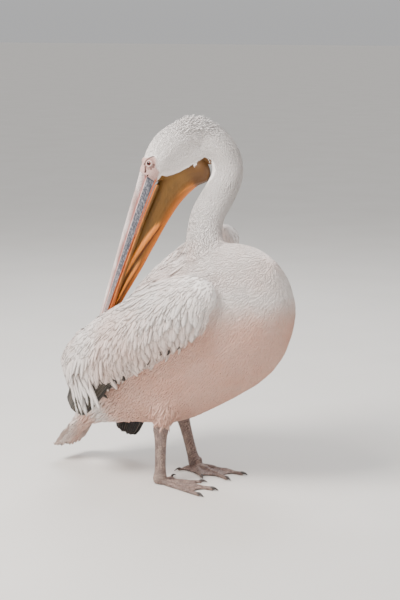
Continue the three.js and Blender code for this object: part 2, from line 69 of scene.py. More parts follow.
def add_light(name, azimuth, elevation, distance, size, power, colour):
    light = bpy.data.lights.new(name, "AREA")
    light.size, light.energy, light.color = size, power, colour
    facing(name, light, LIGHTS_AT, azimuth, elevation, distance)


add_camera()
add_light("key", -25, 50, 2.6, 1.1, 132, (1.0, 0.96, 0.92))
add_light("fill", 75, 25, 3.0, 2.4, 14, (1.0, 0.97, 0.95))
add_light("back", 205, 50, 3.0, 1.6, 60, (0.95, 0.97, 1.0))


# ------------------------------------------------------------------ small tools
def unit(v):
    return v / np.maximum(np.linalg.norm(v, axis=-1, keepdims=True), 1e-9)


def ease(x, low, high):
    """0 below low, 1 above high, smooth between; high may be the lower one."""
    t = np.clip((x - low) / (high - low), 0, 1)
    return t * t * (3 - 2 * t)


def bell(x, middle, width):
    return np.exp(-(((x - middle) / width) ** 2))


def through(values, u):
    """Values that run smoothly through a list of rows, for u from 0 to 1."""
    v = np.asarray(values, float)
    last = len(v) - 1
    at = np.clip(np.asarray(u, float) * last, 0, last - 1e-9)
    i = at.astype(int)
    t = (at - i)[:, None]
    b, c = v[i], v[i + 1]
    a = np.where((i > 0)[:, None], v[np.maximum(i - 1, 0)], 2 * b - c)
    d = np.where((i + 2 <= last)[:, None], v[np.minimum(i + 2, last)], 2 * c - b)
    return b + 0.5 * t * (c - a + t * (2 * a - 5 * b + 4 * c - d + t * (3 * (b - c) + d - a)))


def ripple(p, size, seed):
    """A smooth random field over points, about -1 to 1, with bumps of about that size."""
    r = np.random.default_rng(seed)
    total = np.zeros(len(p))
    for _ in range(9):
        way = unit(r.normal(size=3)) * 2 * np.pi / (size * r.uniform(0.8, 2.2))
        total += np.sin(p @ way + r.uniform(0, 6.3))
    return total / 4


# ------------------------------------------------------------------ the head's own axes
# a runs out along the bill from its base, l to the head's left, h to the crown.
HEAD_AT = np.array([-72.0, -10.0, 692.0])
YAW, PITCH, ROLL = np.radians([150, 70, -18])
LEVEL = np.array([np.cos(YAW), -np.sin(YAW), 0])
BILL_WAY = LEVEL * np.cos(PITCH) - UP * np.sin(PITCH)
FLAT_LEFT = np.cross(UP, LEVEL)
HEAD_LEFT = FLAT_LEFT * np.cos(ROLL) + np.cross(BILL_WAY, FLAT_LEFT) * np.sin(ROLL)
CROWN_WAY = np.cross(BILL_WAY, HEAD_LEFT)
HEAD_AXES = np.stack([BILL_WAY, HEAD_LEFT, CROWN_WAY])


def on_head(a, l, h):
    return HEAD_AT + np.stack(np.broadcast_arrays(a, l, h), -1) @ HEAD_AXES


def to_head(p):
    return (p - HEAD_AT) @ HEAD_AXES.T


# ------------------------------------------------------------------ stations of the swept bodies
def rows(table, side, place=lambda *at: at):
    """Stations of a swept body from rows of x y z (the head's a l h if place is on_head) and the half width and
    half heights up and down: middle x y z, those three, side x y z."""
    return np.array([[*place(*row[:3]), *row[3:], *side] for row in table])


NECK = np.concatenate(
    [
        rows(
            [
                (-0.4, 0, 3, 22, 23, 24), (-22, 0, -3, 29, 30, 40), (-52, 0, -11, 35, 39, 52),
                (-86, 0, -26, 37, 42, 56), (-117, 0, -57, 37, 38, 50), (-126, 0, -95, 37, 37, 44),
            ],
            -HEAD_LEFT,
            on_head,
        ),
        rows([(65, 82, 749, 36, 36, 39), (80, 79, 702, 36, 36, 36)], (-0.4, 0.92, 0)),
        rows(
            [
                (73, 53, 655, 38, 38, 38), (64, 20, 611, 39, 39, 39), (67, 0, 566, 42, 42, 42),
                (85, -26, 518, 50, 56, 49), (120, -54, 464, 64, 70, 62),
            ],
            LEFT,
        ),
    ]
)
POUCH = rows(
    [
        (356, 0, -22, 8, 4, 4), (300, 0, -27, 13, 11, 11), (230, 0, -33, 14, 19, 19), (150, 0, -40, 15, 25, 25),
        (70, 0, -50, 17, 29, 29), (10, 0, -61, 21, 38, 36), (-34, 9, -80, 24, 42, 36), (-56, 24, -106, 24, 32, 28),
    ],
    -HEAD_LEFT,
    on_head,
)
UPPER_BILL = np.array(  # a, half width, cutting edge, ridge
    [
        (-8, 21, -12, 25), (40, 20, -10, 21), (110, 19, -9, 17), (190, 18, -9, 11),
        (270, 17.5, -9, 5), (335, 16.5, -9, 0), (364, 12, -11, -2), (372, 6, -12, -4),
    ]
)
NAIL = rows(
    [(352, 0, -5, 6, 5, 7), (364, 0, -7, 6.5, 6, 8), (375, 0, -11, 5.5, 5.5, 7), (377, 0, -21, 3.4, 2.4, 2.4)],
    -HEAD_LEFT,
    on_head,
)
OUT = {"right": -LEFT, "left": LEFT}
WINGS = {
    "right": rows(
        [
            (150, -118, 462, 18, 28, 34), (128, -126, 458, 26, 52, 58), (90, -133, 438, 30, 68, 78),
            (40, -137, 410, 31, 78, 82), (-25, -138, 370, 30, 81, 82), (-95, -134, 328, 28, 82, 82),
            (-160, -126, 289, 24, 79, 82), (-211, -117, 261, 18, 66, 76), (-243, -110, 243, 9, 38, 50),
        ],
        OUT["right"],
    ),
    "left": rows(
        [
            (82, 98, 560, 20, 32, 33), (54, 110, 533, 28, 60, 64), (12, 119, 486, 31, 68, 80),
            (-42, 125, 440, 31, 70, 86), (-96, 127, 392, 30, 70, 88), (-144, 123, 342, 27, 72, 86),
            (-182, 115, 292, 22, 68, 80), (-206, 107, 252, 15, 50, 60), (-220, 100, 226, 8, 26, 36),
        ],
        OUT["left"],
    ),
}
QUILLS = {
    "right": rows(
        [
            (-110, -132, 270, 12, 44, 40), (-160, -128, 222, 10, 40, 34),
            (-194, -122, 184, 7, 30, 24), (-216, -116, 156, 3, 14, 12),
        ],
        OUT["right"],
    ),
    "left": rows(
        [
            (-80, 114, 360, 11, 40, 40), (-134, 114, 250, 11, 44, 42), (-165, 104, 165, 9, 38, 36),
            (-192, 92, 96, 6, 33, 34), (-201, 84, 54, 3, 20, 20),
        ],
        OUT["left"],
    ),
}

TAIL = np.array(  # rolled about its length, more towards the tip
    [
        [*at, *size, 0, -np.cos(np.radians(roll)), np.sin(np.radians(roll))]
        for at, size, roll in (
            ((-214, -4, 150), (50, 36, 38), 2), ((-242, -3, 121), (47, 27, 26), 8),
            ((-268, -2, 93), (45, 14, 13), 14), ((-293, -1, 64), (47, 7, 6), 18),
            ((-314, 0, 34), (50, 3, 3), 18),
        )
    ]
)
BODY_WAY = np.array([np.cos(np.radians(30)), 0, 0.5])
BACK_WAY = np.array([-0.5, 0, np.cos(np.radians(30))])
TAIL_WAY = unit(np.array([-100.0, 4.0, -116.0]))
TARSUS = 130.0
HEAD_FLOOR = 600.0  # the head, the pouch and the upper neck lie above this height, all else below it
FEET = {  # ball of the foot, turn outwards, and how far the heel leans back
    "right": {"out": -1, "ball": np.array([-10.0, -70.0, 0.0]), "turn": -6, "lean": -3},
    "left": {"out": 1, "ball": np.array([-7.0, 86.0, 0.0]), "turn": -26, "lean": 37},
}
TOES = {  # turn outwards from the middle toe, length, thickness
    "outer": (23, 130.0, 7),
    "middle": (0, 130.0, 7.5),
    "inner": (-25, 93.6, 6.5),
    "hind": (-82, 52.0, 5),
}
EYE = np.array([-31.5, 17.1, 13.7])
EYE_OUT = np.array([0.0, 0.719, 0.695])
EYE_RADIUS = 9.0


# ------------------------------------------------------------------ shells
def spine_frames(stations, u):
    """Middles, sizes and the run, side and top directions of a swept body at each u."""
    step = 1e-3
    middle, ahead, behind = (through(stations[:, :3], np.clip(u + d, 0, 1)) for d in (0, step, -step))
    run = unit(ahead - behind)
    side = through(stations[:, 6:9], u)
    side = unit(side - (side * run).sum(1)[:, None] * run)
    return middle, through(stations[:, 3:6], u), run, side, np.cross(run, side)


def sweep(stations, u, around, shrink=None):
    """Rings of points around a swept body, as an array (rings, around, 3)."""
    middle, size, run, side, top = spine_frames(stations, u)
    angle = np.linspace(0, 2 * np.pi, around, endpoint=False)
    across, high = np.cos(angle), np.sin(angle)
    less = 0 if shrink is None else np.asarray(shrink)[:, None]
    wide = (size[:, :1] - less) * across
    tall = (np.where(high > 0, size[:, 1:2], size[:, 2:3]) - less) * high
    return middle[:, None] + side[:, None] * wide[..., None] + top[:, None] * tall[..., None]


def tube(rings, ends=(0.0, 0.0), caps=4):
    """A closed shell over rings, its ends domed by the given lengths: points and quads (tips as triangles)."""
    middles = rings.mean(1)
    domes, tips = [], []
    for at, inner, length in ((0, 1, ends[0]), (-1, -2, ends[1])):
        way = unit(middles[at] - middles[inner])
        angles = [k / (caps + 1) * np.pi / 2 for k in range(1, caps + 1)]
        flat = rings[at] - middles[at]
        domes.append(np.array([middles[at] + flat * np.cos(t) + way * length * np.sin(t) for t in angles]))
        tips.append(middles[at] + way * length)
    rings = np.concatenate([domes[0][::-1], rings, domes[1]])
    r, n = rings.shape[:2]
    points = np.concatenate([rings.reshape(-1, 3), tips])
    k = np.arange(n)
    after = (k + 1) % n
    base = np.arange(r - 1)[:, None] * n
    quads = np.stack([base + k, base + after, base + n + after, base + n + k], -1).reshape(-1, 4)
    low = np.stack([np.full(n, r * n), after, k], -1)
    high = np.stack([(r - 1) * n + k, (r - 1) * n + after, np.full(n, r * n + 1)], -1)
    return points, [*quads.tolist(), *low.tolist(), *high.tolist()]


def joined(shells):
    points, faces, start = [], [], 0
    for p, f in shells:
        points.append(p)
        faces.extend([[i + start for i in face] for face in f])
        start += len(p)
    return np.concatenate(points), faces


def new_object(name, points, faces):
    me = bpy.data.meshes.new(name)
    me.from_pydata(((points + SHIFT) * MM).tolist(), [], faces)
    me.validate()
    ob = bpy.data.objects.new(name, me)
    bpy.context.collection.objects.link(ob)
    return ob


def numbers(collection, key, width, kind):
    """One property of every member of a mesh collection, as an array."""
    out = np.empty(len(collection) * width, kind)
    collection.foreach_get(key, out)
    return out


def points_of(me):
    return numbers(me.vertices, "co", 3, np.float32).reshape(-1, 3).astype(float) / MM - SHIFT


def triangles_of(me):
    me.calc_loop_triangles()
    return numbers(me.loop_triangles, "vertices", 3, np.int32).reshape(-1, 3)


def applied(ob, faces_of):
    """The points and faces of an object with its modifiers; the object is then removed."""
    me = bpy.data.meshes.new_from_object(ob.evaluated_get(bpy.context.evaluated_depsgraph_get()))
    points, faces = points_of(me), faces_of(me)
    bpy.data.meshes.remove(me)
    bpy.data.objects.remove(ob)
    return points, faces


def remeshed(shells, voxel):
    """One closed skin of quads over overlapping shells."""
    ob = new_object("work", *joined(shells))
    mod = ob.modifiers.new("voxels", "REMESH")
    mod.mode, mod.voxel_size = "VOXEL", voxel * MM
    return applied(ob, lambda me: numbers(me.loops, "vertex_index", 1, np.int32).reshape(-1, 4))


def tree_of(points, faces):
    return BVHTree.FromPolygons(points.tolist(), faces if isinstance(faces, list) else faces.tolist())


def gaps_to(tree, p):
    return np.array([tree.find_nearest(q)[3] for q in p.tolist()])


def edges_of(faces):
    return np.concatenate([faces[:, [k, (k + 1) % faces.shape[1]]] for k in range(faces.shape[1])])


def smooth(values, edges, times, weight=0.5):
    """Laplacian smoothing of values per point; weight may differ from point to point."""
    if values.ndim == 1:
        return smooth(values[:, None], edges, times, weight)[:, 0]
    n = len(values)
    one, two = edges.T
    count = np.maximum(np.bincount(edges.ravel(), minlength=n), 1)[:, None]
    values = values.copy()
    weight = np.broadcast_to(np.asarray(weight, float), (n,))[:, None]
    for _ in range(times):
        total = [np.bincount(one, v[two], n) + np.bincount(two, v[one], n) for v in values.T]
        values += weight * (np.stack(total, -1) / count - values)
    return values


def normals_of(points, faces):
    """Unit normals of the points of a mesh of triangles or of quads, weighted by area."""
    a, b, c, d = (points[faces[:, k]] for k in (0, 1, 2, -1))
    across = np.cross(b - a, c - a) if faces.shape[1] == 3 else np.cross(c - a, d - b)
    total = np.zeros_like(points)
    for k in range(3):
        for corner in faces.T:
            total[:, k] += np.bincount(corner, across[:, k], len(points))
    return unit(total)


# ------------------------------------------------------------------ the trunk, wings, thighs and neck
def cad_shell(name, grow):
    """A CAD node's own shell, its points merged and moved outwards by grow."""
    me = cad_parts[name].data
    points, tri = points_of(me), triangles_of(me)
    _, first, same = np.unique(np.round(points, 2), axis=0, return_index=True, return_inverse=True)
    points, tri = points[first], same.ravel()[tri]
    tri = tri[(tri[:, 0] != tri[:, 1]) & (tri[:, 1] != tri[:, 2]) & (tri[:, 0] != tri[:, 2])]
    return points + grow * normals_of(points, tri), tri.tolist()


WING_NODES = [f"wing_{s}_{p}" for s in ("right", "left") for p in ("coverts", "secondaries")]
BODY_NODES = ["breast", "trunk", "rump", "tail", "thigh_right", "thigh_left", *WING_NODES]
NECK_NODES = ["head", "neck_curl", "neck_middle", "neck_base"]
LEG_NODES = ["leg_right", "leg_left", "foot_right", "foot_left"]
COAT_DEPTH, NECK_DEPTH = 5.5, 3.0  # how far the skin lies under the CAD's outline, where there is room
WING_GROW, BODY_GROW = 0.5, 1.7  # the trunk's coat lies flatter than the wings'
WING_CREASE = 5.0  # depth of the groove round the folded wings
BODY_VOXEL, LEG_VOXEL = 5.3, 1.9


def body_shell():
    """Trunk, wings, thighs and lower neck, lowered by the depth of their coat."""
    wings = [cad_shell(name, WING_GROW) for name in WING_NODES]
    trunk = [cad_shell(name, BODY_GROW) for name in BODY_NODES if name not in WING_NODES]
    u = np.linspace(0.3, 1, 60)
    neck = tube(sweep(NECK, u, 40, ease(u, 0.34, 0.3) * 8 - 0.5), (6, 10))
    points, quads = remeshed([*trunk, *wings, neck], BODY_VOXEL)
    edges = edges_of(quads)
    points = smooth(points, edges, 7, 0.5 * (1 - 0.6 * ease(points[:, 2], 560, 600)))
    normals = unit(smooth(normals_of(points, quads), edges, 3))
    depth = COAT_DEPTH + (NECK_DEPTH - COAT_DEPTH) * ease(points[:, 2], 500, 580)
    tree = tree_of(points, quads)
    for i, (p, n) in enumerate(zip(points, normals)):
        hit = tree.ray_cast(p - n * 0.5, -n, 60)
        if hit[0] is not None:
            depth[i] = min(depth[i], 0.36 * hit[3])
    off_wing, off_trunk = (gaps_to(tree_of(*joined(group)), points) for group in (wings, trunk))
    depth += WING_CREASE * ease(off_wing, 17, 3) * (off_trunk < off_wing) * ease(points[:, 2], 640, 600)
    depth = smooth(depth, edges, 2)
    return points - normals * depth[:, None], quads.tolist()


def head_shell():
    u = np.linspace(0, 0.42, 176)
    points, faces = tube(sweep(NECK, u, 140, ease(u, 0.385, 0.42) * 9), (0.5, 4), 2)
    return points - head_relief(points), faces


def from_eye(p):
    """Each place as seen from the nearer eye, in the head's axes, mirrored to the left side."""
    q = to_head(p)
    q[:, 1] = np.abs(q[:, 1])
    return q - EYE


def eye_place(p):
    """Per point, its distance out along the nearer eye's axis and its distance from that axis."""
    rel = from_eye(p)
    out = rel @ EYE_OUT
    return out, np.linalg.norm(rel - out[:, None] * EYE_OUT, axis=1)


def bare_face(p):
    """1 on the bare skin round the eye, down to the bill; 0 under feathers."""
    a, _, h = to_head(p).T
    back = np.interp(h, [-20, -9, 0.3, 3.6, 7, 10.8, 16, 23, 30], [-20, -23, -27, -38, -47, -52, -51, -42, -30])
    wobble = 1.5 * ripple(p, 9, 3)
    face = ease(a, back - 1.5 + wobble, back + 1.5 + wobble)
    point = ease(h, 27.5 - 0.12 * a + wobble, 25.5 - 0.12 * a + wobble) * ease(h, -13, -11)
    return face * point * ease(a, 30, 20)


def head_relief(p):
    """How far the skin of the head lies inside the plain sweep, as vectors: under the down everywhere but on the
    bare face, and out over the eye."""
    q = to_head(p)
    middle = np.stack([q[:, 0], np.zeros(len(q)), np.interp(-q[:, 0], [0, 22, 52, 86], [3, -3, -11, -26])], -1)
    out = unit(q - middle) @ HEAD_AXES
    bare = bare_face(p)
    depth = 2.0 * (1 - bare) + 0.4
    depth = depth + bare * 0.7 * face_creases(p)
    axial, radius = eye_place(p)
    lid = np.sqrt(np.maximum(EYE_RADIUS**2 - np.minimum(radius, 8.6) ** 2, 0)) + 0.9
    share = np.where((axial > -4) & (radius < 24), ease(radius, 10.5, 7.2), 0)
    lift = share * (np.where(radius < 5.9, 3.5, lid) - (axial - depth))
    eye_out = np.sign(q[:, 1])[:, None] * np.array([0, EYE_OUT[1], 0]) + np.array([0, 0, EYE_OUT[2]])
    return out * depth[:, None] - (eye_out @ HEAD_AXES) * lift[:, None]


BROW = [(6.7, 13.5), (1.5, 11.2), (-3.1, 9.8), (-9, 6.8), (-13.8, 3), (-19.3, -5.5)]
FACE_SPOTS = [  # folds round the eye, painted dark as shade: forward of it, above it, radius
    (-1.1, -11.6, 2.6), (4.0, -11.4, 2.0), (10.9, 6.9, 2.5), (15, 5.2, 2.2), (19.6, 3.4, 2.6),
    (9.5, -7.5, 1.2), (27, -4, 2.2), (33, 3, 2.0), (41, -10, 3.0),
]


def brow_and_fold_shade(p):
    """1 in the brow line and in the folds round the eye, which are pressed in and painted dark as shade."""
    rel = from_eye(p)
    at = np.stack([rel[:, 0], rel @ np.array([0, -EYE_OUT[2], EYE_OUT[1]])], -1)
    gap = np.full(len(p), 99.0)
    for start, end in zip(np.array(BROW[:-1]), np.array(BROW[1:])):
        way = end - start
        share = np.clip((at - start) @ way / (way @ way), 0, 1)[:, None]
        gap = np.minimum(gap, np.linalg.norm(at - start - share * way, axis=1) - 1.1)
    for x, y, r in FACE_SPOTS:
        gap = np.minimum(gap, np.hypot(at[:, 0] - x, (at[:, 1] - y) * 1.3) - r)
    return 0.85 * ease(gap + 0.8 * ripple(p, 5, 17), 2.8, -1.2)


def face_creases(p):
    """Folds in the bare skin: rings round the eye, broken up, and lines running down to the bill; the skin is pressed
    in along them and painted dark there as shade.
    """
    radius = eye_place(p)[1]
    a, l, h = to_head(p).T
    rings = np.sin(2 * np.pi * (radius + 1.2 * ripple(p, 8, 5)) / 3.3) * ease(radius, 7, 9) * ease(radius, 19, 13)
    lines = np.sin(2 * np.pi * (h + 0.12 * np.abs(l) + 1.6 * ripple(p, 12, 6)) / 4.2) * ease(a, -24, -14)
    folds = 0.55 * rings * ease(ripple(p, 10, 8), -0.8, 0.6) + 0.5 * lines * ease(ripple(p, 9, 9), -0.9, 0.5)
    return folds + 1.5 * brow_and_fold_shade(p)


# ------------------------------------------------------------------ the pouch
POUCH_STEPS, POUCH_AROUND = 160, 68


def pouch_drop(angle):
    """0 at the middle of either side, pi/2 at the lower rim and minus that next to the bill."""
    return np.arcsin(np.clip(-np.sin(angle), -1, 1))


def pouch_shape(u, angle):
    """How far the pouch stands off its plain sweep at each (u, angle): folds, creases and fine wrinkles."""
    drop = pouch_drop(angle)
    first_at, first_on = np.maximum(0.24 + 4.4 * (u - 0.52), -0.9), ease(u, 0.56, 0.5)
    second_at, second_on = np.maximum(0.2 + 3.3 * (u - 0.34), -0.6), ease(u, 0.39, 0.33)
    first = 4.2 * bell(drop, first_at, 0.24) * first_on
    second = 3.4 * bell(drop, second_at, 0.22) * second_on
    valley = -2.8 * bell(drop, first_at + 0.42, 0.14) * first_on - 2.0 * bell(drop, second_at + 0.4, 0.14) * second_on
    rim = 1.5 * bell(drop, 1.45, 0.25) * ease(u, 0.2, 0.4)
    hang = 1.8 * bell(drop - 1.6 * (u - 0.6), 0.2, 0.16) * ease(u, 0.62, 0.8)
    fine = 0.35 * np.sin(34 * drop + 5 * np.sin(7 * u + 1)) + 0.3 * np.sin(21 * drop - 9 * u)
    return first + second + valley + rim + hang + fine * ease(u, 0.02, 0.2)


def pouch_shell():
    u = np.linspace(0, 1, POUCH_STEPS)
    rings = sweep(POUCH, u, POUCH_AROUND)
    angle = np.linspace(0, 2 * np.pi, POUCH_AROUND, endpoint=False)
    along, turn = np.meshgrid(u, angle, indexing="ij")
    off = pouch_shape(along.ravel(), turn.ravel()).reshape(along.shape) - 0.8
    out = unit(rings - through(POUCH[:, :3], u)[:, None])
    return tube(rings + out * off[..., None], (3, 17), 6)


CHEEK = {  # the fold between the head's underside and the pouch's top: how far aside, left (1) and right (-1)
    1: (18, 21, 24, 27, 30, 34, 37),
    -1: (14, 14, 12, 8, 2, -5, -10),
}
CHEEK_LINE = [  # a, h and radius at the same places
    (-20, -25.7, 6), (-33, -35.3, 8.5), (-48.7, -48.2, 10.5), (-67.8, -65, 11.5), (-85, -82, 11.5), (-88, -98, 10),
    (-78, -112, 7),
]


def cheek_path(way):
    """Stations of that fold."""
    path = [(a, way * aside, h, r, r, r) for (a, h, r), aside in zip(CHEEK_LINE, CHEEK[way])]
    return rows(path, -HEAD_LEFT, on_head)


def cheek_shell(way):
    return tube(sweep(cheek_path(way), np.linspace(0, 1, 60), 36), (4, 4), 3)


# ------------------------------------------------------------------ legs and feet
def toe_way(side, toe):
    angle = np.radians(FEET[side]["turn"] + TOES[toe][0]) * FEET[side]["out"]
    return np.array([np.cos(angle), np.sin(angle), 0])


def heel_of(side):
    ball, lean = FEET[side]["ball"], FEET[side]["lean"]
    return np.array([ball[0] - lean, ball[1], np.sqrt(TARSUS**2 - lean**2)])


def toe_stations(side, toe):
    ball, way = FEET[side]["ball"], toe_way(side, toe)
    _, length, thick = TOES[toe]
    joints = 3 if length > 100 else 2
    u = np.linspace(0, 1, 25)
    size = thick * np.interp(u, [0, 0.25, 0.5, 0.75, 1], [1.15, 0.95, 0.82, 0.76, 0.62])
    size = size * (1 + 0.09 * np.cos(2 * np.pi * joints * u))
    line = [(*(ball + way * length * x + UP * s * 0.66), s * 0.94, s, s) for x, s in zip(u, size)]
    return rows(line, np.cross(way, UP))


def web_shell(side):
    """The web between the toes, a flat slab whose free edges curve in."""
    ball = FEET[side]["ball"]
    ends = [ball + toe_way(side, t) * TOES[t][1] * 0.88 for t in TOES]
    edge = [ball - toe_way(side, "middle") * 12, ends[0]]
    for start, end in zip(ends[:-1], ends[1:]):
        for share in (0.2, 0.4, 0.6, 0.8):
            point = start * (1 - share) + end * share
            edge.append(point + (ball - point) * 0.12 * np.sin(np.pi * share))
        edge.append(end)
    edge = np.array(edge)
    n = len(edge)
    x, y, _ = edge.T
    order = list(range(n))
    if (x * np.roll(y, -1) - np.roll(x, -1) * y).sum() < 0:
        order.reverse()
    after = order[1:] + order[:1]
    walls = [[i, j, n + j, n + i] for i, j in zip(order, after)]
    return np.concatenate([edge + UP * 1.0, edge + UP * 4.6]), [[n + i for i in order], order[::-1], *walls]


LEG = [  # place from the ball of the foot (0) to the heel (1) and on into the thigh, half sizes
    (1.3, 12, 14, 14), (1.08, 13.5, 17, 16), (0.97, 14.5, 18.5, 19.5), (0.82, 12, 14.5, 16),
    (0.55, 10.8, 13, 14), (0.28, 10.8, 13, 14), (0.1, 12.2, 16, 15), (0.02, 13, 17, 15),
]


def leg_shell(side):
    """One leg from inside the thigh to the toes, webbed and standing flat."""
    ball, heel = FEET[side]["ball"], heel_of(side)
    shells = [tube(sweep(toe_stations(side, t), np.linspace(0, 1, 30), 16), (4, 3)) for t in TOES]
    leg = rows([(*(ball + (heel - ball) * s), *size) for s, *size in LEG], LEFT)
    knob = rows([(*(ball + UP * z), w, d, d) for z, w, d in ((2, 12, 15), (10, 14, 17), (20, 13, 16))], LEFT)
    shells.append(tube(sweep(leg, np.linspace(0, 1, 44), 32), (3, 3)))
    shells += [tube(sweep(knob, np.linspace(0, 1, 8), 20), (2, 4)), web_shell(side)]
    points, quads = remeshed(shells, LEG_VOXEL)
    edges = edges_of(quads)
    points = smooth(points, edges, 3)
    gap = np.full(len(points), 99.0)
    for toe in TOES:
        way, length = toe_way(side, toe), TOES[toe][1]
        rel = points - ball
        along = np.clip(rel @ way, 0, length)
        gap = np.minimum(gap, np.linalg.norm((rel - along[:, None] * way)[:, :2], axis=1))
    web = ease(gap, 5, 10) * (points[:, 2] > 2.4) * (points[:, 2] < 9)
    points[:, 2] += web * (-1.1 * ease(gap, 6, 20) + 0.5 * ripple(points, 14, 21))
    shank = ease(points[:, 2], 14, 24)
    front = unit(points - (ball + (heel - ball) * (points[:, 2] / heel[2])[:, None]))[:, 0]
    plates = np.abs(np.sin(np.pi * points[:, 2] / 4.6)) ** 0.5
    normals = normals_of(points, quads)
    points += normals * (shank * (0.5 * ease(front, 0.1, 0.5) * plates - 0.25))[:, None]
    points += normals * (0.25 * ripple(points, 5, 22) * (1 - web))[:, None]
    points[:, 2] = np.maximum(points[:, 2], 0.0)
    return points, quads.tolist()


# ------------------------------------------------------------------ one skin
def pouch_border(h):
    """How far back the bare pouch reaches at each height below the crown line; feathers cover it behind that."""
    return np.interp(
        -h,
        [14, 16.4, 34.7, 47.3, 55.4, 67.6, 78.2, 87, 94],
        [-12, -14.3, -16.9, -27.5, -36.6, -52.5, -66.4, -75, -84],
    )


EDGE_BAND = 7.0  # the pouch's paint runs this far under the feathers' edge


def pouch_edge(p):
    """How far each place lies behind the edge of the bare pouch; 99 away from it."""
    a, _, h = to_head(p).T
    near = (p[:, 2] > HEAD_FLOOR) & (a > -120) & (a < 40) & (h < -14) & (h > -140)
    return np.where(near, pouch_border(h) - a + 0.8 * ripple(p, 14, 31), 99.0)


FIRM = 0.6  # share of the way to the neighbours' mean in one round of smoothing the skin


def filled(points, triangles, weight, times):
    """Raises the hollows of a surface towards its neighbours and leaves its humps alone."""
    links = edges_of(triangles)
    for _ in range(times):
        normal = normals_of(points, triangles)
        step = ((smooth(points, links, 9, FIRM) - points) * normal).sum(1)
        points = points + normal * (np.maximum(step, 0) * weight)[:, None]
    return points


def make_skin():
    """The skin's points and triangles, and the shells it was joined from."""
    shells = {
        "plumage": body_shell(),
        "head": head_shell(),
        "pouch": pouch_shell(),
        "cheek_left": cheek_shell(1),
        "cheek_right": cheek_shell(-1),
        "leg_right": leg_shell("right"),
        "leg_left": leg_shell("left"),
    }
    base, *others = [new_object(name, *shell) for name, shell in shells.items()]
    for other in others:
        mod = base.modifiers.new(other.name, "BOOLEAN")
        mod.operation, mod.solver, mod.object = "UNION", "MANIFOLD", other
    points, triangles = applied(base, triangles_of)
    for other in others:
        bpy.data.objects.remove(other)
    links = edges_of(triangles)

    # where the feathers' edge crosses from the head to the pouch
    a, _, h = to_head(points).T
    border = bell(np.abs(a - pouch_border(h)), 0, 16) * (points[:, 2] > HEAD_FLOOR)
    border = border * ease(h, -12, -20) * ease(h, -150, -135)
    points = smooth(points, links, 14, FIRM * np.clip(border, 0, 1))

    # the cheeks, and then every hollow left behind that edge
    lines = np.concatenate([through(cheek_path(way)[:, :3], np.linspace(0, 0.85, 40)) for way in (1, -1)])
    off, high = np.full(len(points), 99.0), points[:, 2] > HEAD_FLOOR
    off[high] = np.sqrt(((points[high][:, None] - lines[None]) ** 2).sum(2).min(1))
    cheek = ease(off, 26, 14) * ease(pouch_border(h) - a, 0, 5) * ease(eye_place(points)[1], 24, 32)
    points = smooth(points, links, 70, FIRM * cheek)
    behind = ease(pouch_border(h) - a, -4, 6) * ease(eye_place(points)[1], 22, 30) * ease(points[:, 2], 630, 660)
    return filled(points, triangles, behind * (a < 0), 34), triangles, shells


# ------------------------------------------------------------------ paints
def rgb(code):
    """Linear colour of a hex code."""
    c = np.array([int(code[i : i + 2], 16) / 255 for i in (0, 2, 4)])
    return (*np.where(c <= 0.04045, c / 12.92, ((c + 0.055) / 1.055) ** 2.4), 1.0)


class Paint:
    """A material built of nodes; sockets are given by name, as numbers, colours or other nodes' outputs."""

    def __init__(self, name, roughness, **fixed):
        self.mat = bpy.data.materials.new(name)
        self.mat.use_nodes = True
        self.tree = self.mat.node_tree
        self.shader = self.tree.nodes["Principled BSDF"]
        self.shader.inputs["Roughness"].default_value = roughness
        for key, value in fixed.items():
            self.shader.inputs[key.replace("_", " ")].default_value = value

    def put(self, socket, value):
        if isinstance(value, bpy.types.NodeSocket):
            self.tree.links.new(value, socket)
        else:
            socket.default_value = rgb(value) if isinstance(value, str) else value

    def node(self, kind, inputs, **props):
        node = self.tree.nodes.new(kind)
        for key, value in props.items():
            setattr(node, key, value)
        for key, value in inputs.items():
            self.put(node.inputs[key], value)
        return node

    def attr(self, name):
        return self.node("ShaderNodeAttribute", {}, attribute_name=name).outputs["Fac"]

    def place(self, stretch):
        place = self.node("ShaderNodeTexCoord", {}).outputs["Object"]
        return self.node("ShaderNodeMapping", {"Vector": place, "Scale": stretch}).outputs[0]

    def noise(self, scale, detail=3.0, stretch=(1, 1, 1), distortion=0.0):
        sockets = {"Vector": self.place(stretch), "Scale": scale, "Detail": detail, "Distortion": distortion}
        return self.node("ShaderNodeTexNoise", sockets).outputs["Fac"]

    def cells(self, scale, stretch):
        """Distance to the edge of the nearest cell."""
        sockets = {"Vector": self.place(stretch), "Scale": scale}
        return self.node("ShaderNodeTexVoronoi", sockets, feature="DISTANCE_TO_EDGE").outputs["Distance"]

    def math(self, operation, a, b=0.0, c=0.0):
        return self.node("ShaderNodeMath", {0: a, 1: b, 2: c}, operation=operation).outputs[0]

    def times(self, a, b):
        return self.math("MULTIPLY", a, b)

    def step(self, value, low, high):
        """0 at low, 1 at high, smooth between; high may be the lower one."""
        return self.node("ShaderNodeMapRange", {0: value, 1: low, 2: high}, interpolation_type="SMOOTHSTEP").outputs[0]

    def mix(self, share, a, b):
        node = self.node("ShaderNodeMix", {}, data_type="RGBA")
        self.put(node.inputs[0], share)
        self.put(node.inputs[6], a)
        self.put(node.inputs[7], b)
        return node.outputs[2]

    def over(self, colour, tone, share, weight=None):
        """Colour with tone laid over it by share, or by share times weight."""
        return self.mix(share if weight is None else self.times(share, weight), colour, tone)

    def done(self, colour, height=None, depth=0.0005, strength=1.0):
        """The finished material, with a bump of that depth (metres) by height."""
        self.put(self.shader.inputs["Base Color"], colour)
        if height is not None:
            bump = self.node("ShaderNodeBump", {"Height": height, "Strength": strength, "Distance": depth})
            self.put(self.shader.inputs["Normal"], bump.outputs[0])
        return self.mat


# PEACH is the plumage's own pink tint together with painted warm bounce light and painted shade
WHITE, PEACH = "f4eeea", "e6b29c"


